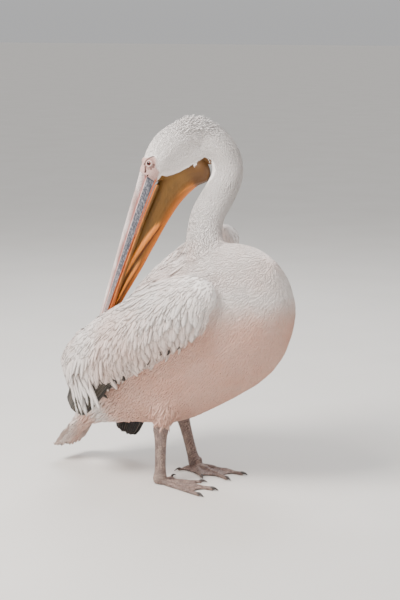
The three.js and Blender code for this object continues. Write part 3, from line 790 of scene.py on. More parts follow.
def plumage_colour(paint):
    """White to peach by the peach wash that skin and coat both carry: the plumage's own pink tint together with
    painted warm bounce light and painted shade.
    """
    patch = paint.step(paint.noise(14, 2), 0.35, 0.75)
    peach_and_bounce = paint.math("ADD", paint.attr("peach_and_bounce"), paint.times(paint.math("SUBTRACT", patch, 0.5), 0.16))
    return paint.mix(paint.step(peach_and_bounce, 0.0, 1.0), WHITE, PEACH)


def skin_paint():
    """Plumage colour under the coat, and the bare face: spotted, with painted shade in its folds and round the eye."""
    paint = Paint("bare_skin", 0.72, Specular_IOR_Level=0.35)
    face = paint.over("cfada5", "a8837a", paint.step(paint.noise(420, 2), 0.42, 0.62), 0.45)
    # painted shade in the folds and along the brow line, where the skin is pressed in
    face = paint.over(face, "452d28", paint.step(paint.attr("crease_shade"), 0.1, 1.1))
    # painted shade: a soft dark ring round the eye
    face = paint.over(face, "85635b", paint.attr("socket"), 0.6)
    colour = paint.over(plumage_colour(paint), face, paint.step(paint.attr("bare"), 0.3, 1.0))
    return paint.done(colour, paint.noise(900, 4), 0.0004, 0.6)


def pouch_paint():
    """Olive brown next to the bill as painted shade over the pouch's own orange, brighter orange below as painted
    light shining through the skin, painted highlights on the fold ridges, painted shade in the fold valleys, and
    darker at the rear.
    """
    paint = Paint("pouch_skin", 0.5, Specular_IOR_Level=0.45, Subsurface_Weight=0.08)
    paint.shader.inputs["Subsurface Radius"].default_value = (0.006, 0.002, 0.0008)
    vein = paint.step(paint.noise(60, 4, (1, 1, 0.3), 1.5), 0.45, 0.7)
    # painted shade: the olive brown base, with its veins
    colour = paint.over("7a5520", "5c411a", vein, 0.5)
    fold = paint.attr("fold")
    for tone, value, low, high in (
        # painted light shining through the lower rim
        ("e8811c", paint.attr("lower"), 0.05, 1.25),
        # painted highlight on the ridges of the folds
        ("ee8f33", fold, 0.3, 2.8),
        # painted shade in the valleys between the folds
        ("6d3710", fold, -0.6, -2.2),
        ("5e3d17", paint.attr("run"), 0.8, 0.95),
        (plumage_colour(paint), paint.attr("behind"), -0.7, 0.9),
    ):
        colour = paint.over(colour, tone, paint.step(value, low, high))
    return paint.done(colour, paint.noise(260, 3, (1, 1, 0.25)), 0.0008, 0.8)


def leg_paint():
    paint = Paint("leg_scales", 0.62, Specular_IOR_Level=0.4)
    scale = paint.step(paint.cells(190, (1, 1, 1.5)), 0.02, 0.16)
    tone = paint.mix(paint.step(paint.noise(70, 4), 0.35, 0.7), "a18a80", "82706a")
    colour = paint.over(paint.mix(scale, "5c4b45", tone), "bba898", paint.step(paint.noise(40, 5), 0.5, 0.8), 0.4)
    return paint.done(colour, scale, 0.0006, 0.8)


def with_values(me, values):
    for name, data in values.items():
        layer = me.attributes.new(name, "FLOAT", "POINT")
        layer.data.foreach_set("value", np.asarray(data, np.float32))


FLESH = [*BODY_NODES, *NECK_NODES]
SOLIDS = [cad_shell(name, 0.0) for name in FLESH]
SOLID_OF_FACE = np.repeat(np.arange(len(SOLIDS)), [len(f) for _, f in SOLIDS])
CAD_TREE = tree_of(*joined(SOLIDS))


def nearest_node(p):
    """For each point, the index in FLESH of the solid that it lies on or nearest to."""
    return SOLID_OF_FACE[[CAD_TREE.find_nearest(q)[2] for q in p.tolist()]]


def is_one(owner, *starts):
    return np.isin(owner, [i for i, name in enumerate(FLESH) if name.startswith(starts)])


def peach_wash_and_bounce(p):
    """The peach wash, the plumage's own pink tint with painted warm bounce light low on the body and painted shade
    under the tail: breast, belly and tail, fading up the back and the neck.
    """
    # painted warm bounce light from below over the plumage's own pink tint, strongest low on the body
    low = ease(p[:, 2], 500, 360) * ease(p[:, 0], -215, -90)
    neck = 0.35 * ease(p[:, 2], 640, 540)
    # painted shade: the tail's underside is washed warmer than its top
    under_tail = ease((p - TAIL[0, :3]) @ np.cross(TAIL_WAY, LEFT), -8, 6)
    tail = 0.85 * ease(p[:, 0], -150, -220) * ease(p[:, 2], 210, 170) * (0.6 + 0.4 * under_tail)
    peach_and_bounce = np.clip(np.maximum(np.maximum(low, neck * (1 - low)), tail), 0, 1) * 0.9
    return peach_and_bounce * np.where(is_one(nearest_node(p), "wing"), 0.5, 0.95)


def around(p, stations, steps=320):
    """Per point: how far along a swept body it is, the angle round it, the run and top directions there, and its
    height off the middle."""
    u = np.linspace(0, 1, steps)
    middle, size, run, side, top = spine_frames(stations, u)
    parts = np.array_split(p, 1 + len(p) // 4000)
    near = np.concatenate([((part[:, None] - middle[None]) ** 2).sum(2).argmin(1) for part in parts])
    rel = p - middle[near]
    across, high = (rel * side[near]).sum(1), (rel * top[near]).sum(1)
    angle = np.arctan2(high / size[near, 1], across / size[near, 0]) % (2 * np.pi)
    return u[near], angle, run[near], top[near], high


points, triangles, shells = make_skin()
tree = tree_of(points, triangles)
edges = edges_of(triangles)
normals = normals_of(points, triangles)
centres = points[triangles].mean(1)
neck_u, neck_angle = around(centres, NECK)[:2]
FACE_END = 0.24  # how far along the neck's sweep the face reaches
CHEEK_END = -88.0  # height below the crown line down to which everything before the feathers' edge is pouch


def skin_slots():
    """Which paint each face of the skin wears: 0 plumage skin, 1 pouch, 2 leg."""
    trees = {name: tree_of(*shell) for name, shell in shells.items()}
    slot, off = np.zeros(len(centres), np.int32), np.full(len(centres), 99.0)
    cheek = np.zeros(len(centres), bool)
    for i, place in enumerate(centres.tolist()):
        near = ("head", "pouch", "cheek_left", "cheek_right") if place[2] > 300 else ("leg_right", "leg_left")
        gaps = {name: trees[name].find_nearest(place)[3] for name in ("plumage", *near)}
        best = min(gaps, key=gaps.get)
        slot[i] = 1 if best == "pouch" else 2 if best.startswith("leg") else 0
        off[i] = gaps.get("pouch", 99.0)
        cheek[i] = best.startswith("cheek")
    behind = pouch_edge(centres)
    chin = (behind < 90) & (slot < 2)
    face = chin & (cheek | (neck_u < FACE_END) | (off < 5) | (to_head(centres)[:, 2] > CHEEK_END))
    slot[face & (behind < EDGE_BAND)] = 1
    slot[chin & (behind >= EDGE_BAND)] = 0
    return slot


def carry(ob, slot, *nodes):
    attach(ob, "root")
    if nodes:
        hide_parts(*nodes)


def shade_smooth(me):
    me.polygons.foreach_set("use_smooth", np.ones(len(me.polygons), bool))


slots = skin_slots()
skin = new_object("skin", points, triangles.tolist())
skin.data.polygons.foreach_set("material_index", slots)
shade_smooth(skin.data)
for paint in (skin_paint(), pouch_paint(), leg_paint()):
    skin.data.materials.append(paint)
high = points[:, 2] > HEAD_FLOOR
u_pouch, a_pouch = around(points, POUCH)[:2]
edge = pouch_edge(points)
near_face = around(points, NECK)[0] < FACE_END
with_values(
    skin.data,
    {
        "peach_and_bounce": peach_wash_and_bounce(points),
        "bare": smooth(bare_face(points) * high, edges, 8),
        # where the folds and the brow line are painted dark as shade
        "crease_shade": face_creases(points) * high,
        # the ring of painted shade round the eye
        "socket": bell(eye_place(points)[1] + 1.5 * ripple(points, 12, 5), 10.5, 3.2) * high,
        "run": u_pouch,
        "lower": pouch_drop(a_pouch),
        "fold": pouch_shape(u_pouch, a_pouch),
        "behind": smooth(np.where((edge < 90) & (near_face | (edge > 0)), edge, -20.0), edges, 2),
    },
)
carry(skin, "plumage", *BODY_NODES, *NECK_NODES, "pouch", *LEG_NODES)


# ------------------------------------------------------------------ bill, eyes and claws
BILL_SECTION = [  # right half of a cut across the bill, from the ridge to the middle of its underside
    (0, 1), (0.14, 0.97), (0.25, 0.86), (0.31, 0.64), (0.36, 0.58), (0.6, 0.47), (0.82, 0.33), (0.96, 0.16),
    (1, 0.03), (0.93, -0.03), (0.6, 0.03), (0.25, 0.1), (0, 0.12),
]


def upper_bill():
    a, wide, edge, ridge = through(UPPER_BILL, np.linspace(0, 1, 190)).T
    half = through(BILL_SECTION, np.linspace(0, 1, 37))
    y = np.concatenate([-half[:, 0], half[-2:0:-1, 0]])
    z = np.concatenate([half[:, 1], half[-2:0:-1, 1]])
    return tube(on_head(a[:, None], wide[:, None] * y, edge[:, None] + z * (ridge - edge)[:, None]), (1, 2), 2)


BILL_LENGTH = 380.0


def bill_values(p):
    a, l, h = to_head(p).T
    wide, edge, ridge = (np.interp(a, UPPER_BILL[:, 0], column) for column in UPPER_BILL.T[1:])
    return {"out": a / BILL_LENGTH, "aside": np.abs(l) / wide, "high": (h - edge) / (ridge - edge)}


def bill_paint():
    """Pale ridge, thin red line, mottled grey band and orange rim, from the middle outwards."""
    paint = Paint("bill_horn", 0.42, Specular_IOR_Level=0.5, Coat_Weight=0.12, Coat_Roughness=0.35)
    aside, out, high = paint.attr("aside"), paint.attr("out"), paint.attr("high")
    streak = paint.noise(75, 5, (1, 1, 0.22), 0.6)
    ridge = paint.mix(paint.step(streak, 0.35, 0.7), "e9dcd8", "bfa39c")
    speck = paint.times(paint.step(paint.noise(480, 3), 0.52, 0.66), paint.step(out, 0.45, 0.05))
    ridge = paint.over(ridge, "6f5f5f", speck, 0.65)
    band = paint.mix(paint.step(paint.noise(420, 5, (1, 1, 0.4)), 0.42, 0.72), "40424b", "96949a")
    band = paint.over(band, "b09a92", paint.step(out, 0.5, 1.0), 0.7)
    colour = paint.over(ridge, band, paint.step(aside, 0.42, 0.5))
    red = paint.times(paint.step(aside, 0.26, 0.33), paint.step(aside, 0.44, 0.36))
    colour = paint.over(colour, "a8453a", red, 0.75)
    colour = paint.over(colour, "cf6a3a", paint.step(high, 0.13, 0.06), paint.step(aside, 0.8, 0.95))
    return paint.done(colour, streak, 0.0012, 0.7)


def horn_paint(name, light, dark, grain):
    paint = Paint(name, 0.45, Specular_IOR_Level=0.5)
    streak = paint.noise(grain, 4, (1, 1, 0.3), 0.5)
    return paint.done(paint.mix(paint.step(streak, 0.3, 0.7), light, dark), streak, 0.0006, 0.7)


def piece(name, shell, slot, nodes, paint, values=None):
    ob = new_object(name, *shell)
    shade_smooth(ob.data)
    ob.data.materials.append(paint)
    with_values(ob.data, values or {})
    carry(ob, slot, *nodes)


bill = upper_bill()
piece("bill_ridge", bill, "horn", ["bill_upper"], bill_paint(), bill_values(bill[0]))
nail = tube(sweep(NAIL, np.linspace(0, 1, 40), 28), (2, 2), 3)
piece("bill_tip", nail, "nail", ["bill_nail"], horn_paint("nail_horn", "c8553a", "8e2f22", 160))

JAW_HALF = 4.8  # half the height of a jaw bar
JAW = [  # a, how far aside, h
    (368, 1, -17.5), (364, 5, -17), (352, 11, -16.5), (325, 14, -15.5),
    (250, 15.2, -15.5), (170, 15.8, -15.5), (90, 16.6, -16), (10, 17.8, -19),
]


def jaw_bar(way):
    stations = rows([(a, way * l, h, 3.0, JAW_HALF, JAW_HALF) for a, l, h in JAW], -HEAD_LEFT, on_head)
    return tube(sweep(stations, np.linspace(0, 1, 150), 18), (3, 2), 3)


def jaw_paint():
    """Orange along the cutting edge, its own colour brightened as painted light; olive brown below it as painted
    shade, like the top of the pouch.
    """
    paint = Paint("jaw_horn", 0.45, Specular_IOR_Level=0.5)
    streak = paint.noise(120, 4, (1, 1, 0.3), 0.5)
    grain = paint.step(streak, 0.3, 0.7)
    top = paint.math("MAXIMUM", paint.step(paint.attr("top"), 0.1, 0.6), paint.step(paint.attr("out"), 0.6, 0.85))
    # painted light on the orange top, painted shade in the olive brown below
    colour = paint.mix(top, paint.mix(grain, "80581f", "63451a"), paint.mix(grain, "e88a3e", "c4602c"))
    return paint.done(colour, streak, 0.0006, 0.7)


jaws = joined([jaw_bar(way) for way in (1, -1)])
jaw_a, _, jaw_h = to_head(jaws[0]).T
jaw_line = np.interp(jaw_a, [10, 90, 170, 352, 368], [-19, -16, -15.5, -16.5, -17.5])
jaw_values = {"top": (jaw_h - jaw_line) / JAW_HALF, "out": jaw_a / BILL_LENGTH}
piece("jaw_bars", jaws, "mandible", ["bill_lower"], jaw_paint(), jaw_values)


def eye_paint():
    paint = Paint("eye_wet", 0.15, Specular_IOR_Level=0.4, Coat_Weight=0.5, Coat_Roughness=0.04)
    radius = paint.attr("radius")
    rays = paint.step(paint.noise(700, 3), 0.35, 0.65)
    colour = paint.over(paint.mix(rays, "6b2416", "3a120c"), "050303", paint.step(radius, 0.3, 0.26))
    return paint.done(paint.over(colour, "2a100c", paint.step(radius, 0.58, 0.66)), rays, 0.00005, 0.2)


def eye_axes(way):
    """Centre of the head's left (1) or right eye, and its directions: side, up and out."""
    out = np.array([0, way * EYE_OUT[1], EYE_OUT[2]]) @ HEAD_AXES
    side = unit(np.cross(UP, out))
    return on_head(EYE[0], way * EYE[1], EYE[2]), np.stack([side, np.cross(out, side), out])


def eyeball(way):
    """A ball whose cornea bulges a little, and each point's distance from the eye's axis."""
    centre, axes = eye_axes(way)
    polar = np.linspace(0.02, np.pi - 0.02, 40)[:, None]
    turn = np.linspace(0, 2 * np.pi, 48, endpoint=False)
    ball = np.stack([np.sin(polar) * np.cos(turn), np.sin(polar) * np.sin(turn), np.cos(polar) * np.ones(48)], -1)
    bulge = EYE_RADIUS * (1 + 0.05 * ease(ball[..., 2], 0.78, 0.95))
    shell = tube((ball * bulge[..., None])[::-1] @ axes + centre, (0, 0), 1)
    rel = (shell[0] - centre) @ axes.T / EYE_RADIUS
    return shell, {"radius": np.where(rel[:, 2] > 0, np.hypot(rel[:, 0], rel[:, 1]), 1)}


LID_RADIUS, LID_AROUND, LID_ACROSS = 6.1, 72, 12


def lid(way):
    """The bare ring of skin round the eye, a little wrinkled, as a rolled edge."""
    centre, (side, up, out) = eye_axes(way)
    turn = np.linspace(0, 2 * np.pi, LID_AROUND, endpoint=False)
    tuck = np.linspace(0, 2 * np.pi, LID_ACROSS, endpoint=False)
    roll = 1.15 * (1 + 0.12 * np.sin(turn * 11 + np.sin(turn * 3) * 2))
    r = (LID_RADIUS + 0.25 * np.cos(2 * turn))[:, None] + roll[:, None] * np.cos(tuck)
    z = np.sqrt(EYE_RADIUS**2 - LID_RADIUS**2) + 0.25 + 0.75 * roll[:, None] * np.sin(tuck)
    away = np.cos(turn)[:, None, None] * side + np.sin(turn)[:, None, None] * up
    place = centre + r[..., None] * away + z[..., None] * out
    grid = np.arange(LID_AROUND * LID_ACROSS).reshape(LID_AROUND, LID_ACROSS)
    after = np.roll(grid, -1, 0)
    quads = np.stack([grid, after, np.roll(after, -1, 1), np.roll(grid, -1, 1)], -1)
    return place.reshape(-1, 3), quads.reshape(-1, 4).tolist()


def lid_paint():
    paint = Paint("eyelid", 0.6, Specular_IOR_Level=0.4)
    spots = paint.step(paint.noise(500, 3), 0.4, 0.65)
    return paint.done(paint.mix(spots, "ecd8cf", "bb978c"), paint.noise(1500, 3), 0.0003, 0.7)


eye_coat, lids = eye_paint(), lid_paint()
for side, way in (("left", 1), ("right", -1)):
    shell, values = eyeball(way)
    piece(f"eyeball_{side}", shell, "eye", [f"eye_{side}"], eye_coat, values)
    piece(f"eyelid_{side}", lid(way), "plumage", [], lids)

claw_coat = horn_paint("claw_horn", "4a4340", "2c2624", 300)
for side in FEET:
    for toe, (_, length, thick) in TOES.items():
        way = toe_way(side, toe)
        root = FEET[side]["ball"] + way * length
        size = thick * 0.5
        shape = [
            (-3, 5.2, size, size, size),
            (3, 5.6, size * 0.86, size, size * 0.9),
            (9, 4.6, size * 0.55, size * 0.62, size * 0.6),
            (14, 2.3, 0.8, 0.9, 0.8),
        ]
        stations = rows([(*(root + way * on + UP * high), *half) for on, high, *half in shape], np.cross(way, UP))
        shell = tube(sweep(stations, np.linspace(0, 1, 16), 14), (1, 0.8), 2)
        piece(f"nail_{side}_{toe}", shell, "claw", [f"claw_{side}_{toe}"], claw_coat)


# ------------------------------------------------------------------ the lie of the feathers
def flat_to(way, normal):
    return unit(way - (way * normal).sum(-1, keepdims=True) * normal)


def wing_lie(p, side):
    """Back along the wing near its top edge, turning down towards its lower edge and its rear."""
    u, _, run, top, high = around(p, WINGS[side])
    flip = np.where(top[:, 2:] > 0, 1, -1)
    turn = np.radians(16 + 46 * ease(flip[:, 0] * high / 80, 0.8, -0.6) + 22 * ease(u, 0.65, 1.0))[:, None]
    return run * np.cos(turn) - flip * top * np.sin(turn)


def lie_field(owner):
    way = np.tile(-BODY_WAY - 0.45 * UP, (len(points), 1))
    neck = is_one(owner, "head", "neck")
    way[neck] = around(points[neck], NECK)[2]
    for side in WINGS:
        on = is_one(owner, f"wing_{side}")
        way[on] = wing_lie(points[on], side)
    way[is_one(owner, "thigh")] = -UP - 0.35 * BODY_WAY
    way[is_one(owner, "tail")] = TAIL_WAY
    way[is_one(owner, "rump")] = 0.6 * TAIL_WAY - 0.4 * BODY_WAY
    way = flat_to(way, normals)
    for _ in range(5):
        way = flat_to(smooth(way, edges, 4), normals)
    return way


def thinned(p, gap):
    """Indexes of points no nearer to each other than gap, as dense as they can be: in each round the first point
    of every cell stays if no other cell's first is too near, and the points near it go."""
    cell = np.floor((p - p.min(0)) / gap).astype(int) + 1
    size = cell.max(0) + 2
    place = (cell[:, 0] * size[1] + cell[:, 1]) * size[2] + cell[:, 2]
    near = (-1, 0, 1)
    steps = [(x * size[1] + y) * size[2] + z for x in near for y in near for z in near]
    grid = np.full(size.prod(), -1)

    def crowded(some, before):
        """Which of some points have one of the grid's within gap; with before, only those earlier in the list."""
        found = np.zeros(len(some), bool)
        for s in steps:
            other = grid[place[some] + s]
            close = ((p[some] - p[other]) ** 2).sum(1) < gap * gap
            found |= (other >= 0) & close & ((other < some) if before else True)
        return found

    left, kept = np.arange(len(p)), []
    while len(left):
        grid[:] = -1
        grid[place[left[::-1]]] = left[::-1]
        first = grid[grid >= 0]
        kept.append(first[~crowded(first, True)])
        grid[:] = -1
        grid[place[kept[-1]]] = kept[-1]
        left = left[~crowded(left, False)]
    return np.sort(np.concatenate(kept))


def scatter(faces_on, gap):
    """Roots spread over those faces of the skin: places, normals and lie."""
    tri = triangles[faces_on]
    corner = points[tri]
    area = 0.5 * np.linalg.norm(np.cross(corner[:, 1] - corner[:, 0], corner[:, 2] - corner[:, 0]), axis=1)
    count = int(area.sum() / gap**2 * 4.5)
    pick = rng.choice(len(tri), count, p=area / area.sum())
    r1, r2 = np.sqrt(rng.random(count)), rng.random(count)
    share = np.stack([1 - r1, r1 * (1 - r2), r1 * r2], -1)[..., None]
    place = (points[tri[pick]] * share).sum(1)
    keep = thinned(place, gap)
    place, share, pick = place[keep], share[keep], pick[keep]
    return place, unit((normals[tri[pick]] * share).sum(1)), unit((lie[tri[pick]] * share).sum(1))


def settle(p):
    """The nearest places on the skin, and its normals there."""
    return np.array([tree.find_nearest(q)[:2] for q in p.tolist()]).transpose(1, 0, 2)


def laid(place, normal, way, length, rise, spread=0.12, free=0.0, sink=0.7):
    """Root, middle and tip of each feather, and the normals there. free is how far the tip leaves the skin's
    curve to run on straight."""
    n = len(place)
    length, rise, free = (np.broadcast_to(x, (n,))[:, None] for x in (length, rise, free))
    way = flat_to(way + np.cross(normal, way) * rng.normal(0, spread, (n, 1)), normal)
    middle, mid_normal = settle(place + way * length * 0.5)
    tip, tip_normal = settle(place + way * length)
    straight = middle + flat_to(way, mid_normal) * length * 0.5
    tip = tip * (1 - free) + straight * free
    tip_normal = unit(tip_normal * (1 - free) + mid_normal * free)
    spine = np.stack([place - normal * sink, middle + mid_normal * rise * 0.5, tip + tip_normal * rise], 1)
    return spine, np.stack([normal, mid_normal, tip_normal], 1)


def vane(profile):
    """One feather as a thin closed lens: the along, width, side and height of its points, and its faces. The
    profile gives (along, half width) at each ring: its two edges, the shaft above and the back below."""
    rings = [(t, w, side, high) for t, w in profile for side, high in ((1, 0), (0, 1), (-1, 0), (0, -1))]
    spots = np.array([(0.0, 0.0, 0.0, 0.0), *rings, (1.0, 0.0, 0.0, 0.0)])
    last, found = len(spots) - 1, []
    for k in range(4):
        m = (k + 1) % 4
        found.append((0, 1 + m, 1 + k))
        for a in range(1, last - 4, 4):
            found += [(a + k, a + m, a + 4 + m), (a + k, a + 4 + m, a + 4 + k)]
        found.append((last - 4 + k, last - 4 + m, last))
    return spots, np.array(found)


TUFT = vane([(0.3, 0.85), (0.72, 0.9)])
LANCE = vane([(0.2, 0.78), (0.5, 1.0), (0.79, 0.66)])
PLUME = vane([(0.22, 0.7), (0.55, 1.0), (0.84, 0.74)])
BLADE = vane([(0.1, 0.45), (0.3, 0.9), (0.55, 1.0), (0.78, 0.88), (0.93, 0.5)])
QUILL = vane([(0.06, 0.3), (0.2, 0.8), (0.4, 1.0), (0.6, 1.0), (0.78, 0.95), (0.9, 0.72), (0.97, 0.38)])

PATCH = 0.003  # size of a feather's patch on the unwrap
ABOVE_FLOOR = 0.5


class Coat:
    """Feathers gathered into one joined mesh."""

    def __init__(self, chart):
        self.parts, self.chart, self.size = [], chart, 0

    def add(self, template, laid_out, half, thick=0.35, camber=0.25, sway=0.06, ragged=0.0, twist=0.1):
        """Feathers of one template along laid-out spines; half is half their width, in mm like thick."""
        spine, normal = laid_out
        spots, faces = template
        n, k = len(spine), len(spots)
        along, wide, aside, above = spots.T
        t = along[None, :, None]
        weights = (2 * (t - 0.5) * (t - 1), 4 * t * (1 - t), 2 * t * (t - 0.5))
        slopes = (4 * t - 3, 4 - 8 * t, 4 * t - 1)
        blend = lambda shares, values: sum(w * values[:, None, i] for i, w in enumerate(shares))
        centre, run = blend(weights, spine), unit(blend(slopes, spine))
        side = unit(np.cross(unit(blend(weights, normal)), run))
        up = np.cross(run, side)
        half = np.broadcast_to(half, (n,))[:, None] * rng.uniform(0.85, 1.15, (n, 1))
        width = half * wide * (1 + ragged * rng.normal(0, 1, (n, k)))
        length = np.linalg.norm(spine[:, 2] - spine[:, 0], axis=1)[:, None]
        off = width * aside + rng.normal(0, sway, (n, 1)) * length * along**2
        high = thick * above * (1 - 0.6 * along) - camber * width * np.abs(aside)
        high = high + rng.normal(0, twist, (n, 1)) * width * aside
        place = centre + side * off[..., None] + up * high[..., None]
        within = np.stack([along - 0.5, 0.5 * wide * aside], -1)
        patch = np.clip(self.chart(spine[:, 0])[:, None] + PATCH * within, 0, 1)
        tint, peach_and_bounce = rng.uniform(-1, 1, (n, 1)), peach_wash_and_bounce(spine[:, 0])[:, None]
        values = [np.broadcast_to(value, (n, k)).ravel() for value in (along, aside, tint, peach_and_bounce)]
        tris = (faces[None] + (np.arange(n) * k)[:, None, None]).reshape(-1, 3) + self.size
        self.size += n * k
        self.parts.append((place.reshape(-1, 3), tris, patch.reshape(-1, 2), *values))

    def make(self, name, paint, slot="plumage", *nodes):
        """The piece itself, which may stand for CAD nodes."""
        verts, tris, patches, *values = (np.concatenate(part) for part in zip(*self.parts))
        verts[:, 2] = np.maximum(verts[:, 2], ABOVE_FLOOR)
        me = bpy.data.meshes.new(name)
        me.vertices.add(len(verts))
        me.vertices.foreach_set("co", ((verts + SHIFT) * MM).astype(np.float32).ravel())
        me.loops.add(tris.size)
        me.loops.foreach_set("vertex_index", tris.astype(np.int32).ravel())
        me.polygons.add(len(tris))
        me.polygons.foreach_set("loop_start", np.arange(0, tris.size, 3, dtype=np.int32))
        me.update(calc_edges=True)
        shade_smooth(me)
        layer = me.uv_layers.new(name="OFBake")
        layer.uv.foreach_set("vector", patches[tris.ravel()].astype(np.float32).ravel())
        with_values(me, dict(zip(("along", "across", "tint", "peach_and_bounce"), values)))
        me.materials.append(paint)
        ob = bpy.data.objects.new(name, me)
        bpy.context.collection.objects.link(ob)
        carry(ob, slot, *nodes)


# Charts: where a place on the skin lies on the skin's own unwrap, 0 to 1 both ways.


def swept_chart(stations):
    def chart(p):
        u, angle = around(p, stations)[:2]
        return np.stack([u, angle / (2 * np.pi)], -1)

    return chart


def body_chart(p):
    rel = p - np.array([0, 0, 300.0])
    angle = np.arctan2(rel @ BACK_WAY + 40, rel[:, 1])
    return np.stack([(rel @ BODY_WAY + 420) / 860, angle / (2 * np.pi) + 0.5], -1)


def coat_paint(name, shaft, barbs, root_share):
    """Feather finish: shaded roots, each feather a little different; larger ones show a shaft and barbs."""
    paint = Paint(name, 0.8, Specular_IOR_Level=0.25, Sheen_Weight=0.15, Sheen_Roughness=0.5)
    along, tint = paint.attr("along"), paint.attr("tint")
    aside = paint.math("ABSOLUTE", paint.attr("across"))
    colour = paint.over(plumage_colour(paint), "d3b9ab", paint.step(along, 0.7, 0.0), root_share)
    colour = paint.over(colour, "d6c0b4", paint.step(tint, -0.2, 1.0), 0.12)
    if shaft:
        line = paint.times(paint.step(aside, 0.10, 0.03), paint.step(along, 1.0, 0.6))
        colour = paint.over(colour, "b3a096", line, shaft)
    wave = paint.math("MULTIPLY_ADD", along, barbs, paint.times(aside, -0.35 * barbs))
    return paint.done(colour, paint.math("ADD", paint.math("SINE", wave), paint.noise(900, 2)), 0.0004, 0.5)


def flight_paint(name, dark, light, edge):
    """Flight feathers: paler edges and shaft on a dark vane."""
    paint = Paint(name, 0.6, Specular_IOR_Level=0.4, Sheen_Weight=0.1)
    aside = paint.math("ABSOLUTE", paint.attr("across"))
    tone = paint.mix(paint.step(paint.attr("tint"), -1.0, 1.0), dark, light)
    tone = paint.over(tone, edge, paint.step(aside, 0.55, 1.0), 0.5)
    tone = paint.over(tone, "8c8278", paint.step(aside, 0.12, 0.03), 0.6)
    wave = paint.math("MULTIPLY_ADD", paint.attr("along"), 300.0, paint.times(aside, -90.0))
    return paint.done(tone, paint.math("SINE", wave), 0.0004, 0.5)


owner = nearest_node(points)
lie = lie_field(owner)
face_owner = owner[triangles[:, 0]]
feathered = (slots == 0) & (bare_face(centres) * (centres[:, 2] > HEAD_FLOOR) < 0.5)
velvet = coat_paint("velvet", 0.0, 60.0, 0.2)
contour = coat_paint("contour", 0.0, 90.0, 0.12)
shaggy = coat_paint("shaggy", 0.25, 110.0, 0.42)
covert = coat_paint("coverts", 0.35, 170.0, 0.5)
black = flight_paint("flight_black", "171514", "34302c", "564c44")
olive = flight_paint("flight_olive", "2b2620", "4d4338", "6b5e4f")


# ------------------------------------------------------------------ velvet of the head and the neck
def nape(u, angle):
    """1 on the ruffled nape: the crown side of the curl, behind the head."""
    return ease(np.sin(angle), 0.1, 0.6) * ease(u, 0.25, 0.31) * ease(u, 0.47, 0.39)


def outer_bend(u, angle):
    """1 on the back of the neck below the nape, where its down stands fullest."""
    return ease(np.sin(angle), 0.0, 0.7) * ease(u, 0.28, 0.4) * ease(u, 0.72, 0.6)


POUCH_TREE = tree_of(*shells["pouch"])


def off_pouch(p):
    """How far each place lies behind the feathers' edge on the pouch; 99 where the pouch is not beneath."""
    return np.where(gaps_to(POUCH_TREE, p) < 20, pouch_edge(p), 99.0)


on_neck = feathered & is_one(face_owner, "head", "neck")
for name, low, high, gap in (
    ("coat_head", -1, 0.3, 2.1),
    ("coat_neck_upper", 0.3, 0.55, 2.3),
    ("coat_neck_middle", 0.55, 0.78, 2.5),
    ("coat_neck_lower", 0.78, 1, 2.8),
):
    coat = Coat(swept_chart(NECK))
    place, normal, way = scatter(on_neck & (neck_u > low) & (neck_u <= high), gap)
    u, angle = around(place, NECK)[:2]
    mane = outer_bend(u, angle)
    # short as plush on the face and next to the pouch, longer down the neck
    length = 3.4 + 6.0 * ease(u, 0.03, 0.4) + 4.5 * ease(u, 0.65, 0.9)
    length = length * (0.5 + 0.5 * ease(off_pouch(place), 2, 16)) + 3 * mane
    ruffle = nape(u, angle) * rng.random(len(place)) ** 1.5
    rise = (0.11 + 0.07 * rng.random(len(place))) * length + 3.0 * ruffle + 2.0 * mane
    spine, up = laid(place, normal, way, length + 3 * ruffle, rise, 0.15)
    clear = (off_pouch(spine[:, 2]) > 0) & (off_pouch(spine[:, 1]) > 0)
    coat.add(TUFT, (spine[clear], up[clear]), (0.6 + 0.13 * length)[clear], 0.3)
    if name == "coat_neck_upper":
        # the ruffled crest of the nape, its tips standing free
        place, normal, way = scatter(on_neck & (nape(neck_u, neck_angle) > 0.1), 3.9)
        tall = nape(*around(place, NECK)[:2])
        on = rng.random(len(place)) < tall**1.5
        place, normal, way, tall = place[on], normal[on], way[on], tall[on]
        tips = laid(place, normal, way, rng.uniform(8, 12 + 4 * tall), rng.uniform(2, 3 + 9 * tall), 0.3, 0.7 * tall)
        coat.add(TUFT, tips, 1.2, 0.35, 0.2, 0.1)
    coat.make(name, velvet)

# ------------------------------------------------------------------ contour feathers of the trunk
on_body = feathered & is_one(face_owner, "breast", "trunk", "rump", "thigh", "tail")
along_body = centres @ BODY_WAY
for name, low, high, gap in (
    ("coat_breast", 330, np.inf, 3.1),
    ("coat_side", 210, 330, 3.1),
    ("coat_belly", -np.inf, 210, 3.7),
):
    coat = Coat(body_chart)
    place, normal, way = scatter(on_body & (along_body > low) & (along_body <= high), gap)
    rear = ease(place @ BODY_WAY, 220, -20)
    length = 15 - 2.5 * ease(place[:, 2], 440, 520) + 8 * rear
    rise = 0.8 + 0.5 * rng.random(len(place)) + 1.3 * rear * rng.random(len(place)) ** 2
    coat.add(TUFT, laid(place, normal, way, length, rise, 0.14, sink=1.3), 2.6 + 0.9 * rear, 0.3, 0.15)
    coat.make(name, contour)

# Loose fluffy feathers over the thighs, and the long ones under and over the tail.
coat = Coat(body_chart)
for nodes, gap, long, high, spread, free, half, camber in (
    (("thigh",), 7.0, (18, 27), (2, 8), 0.35, 0.4, 3.0, 0.2),
    (("tail", "rump"), 6.5, (26, 38), (1.5, 6), 0.14, 0.3, 3.8, 0.25),
):
    place, normal, way = scatter(feathered & is_one(face_owner, *nodes), gap)
    n = len(place)
    tips = laid(place, normal, way, rng.uniform(*long, n), rng.uniform(*high, n), spread, free)
    coat.add(PLUME, tips, half, 0.45, camber)
coat.make("coat_thighs_rump", contour)


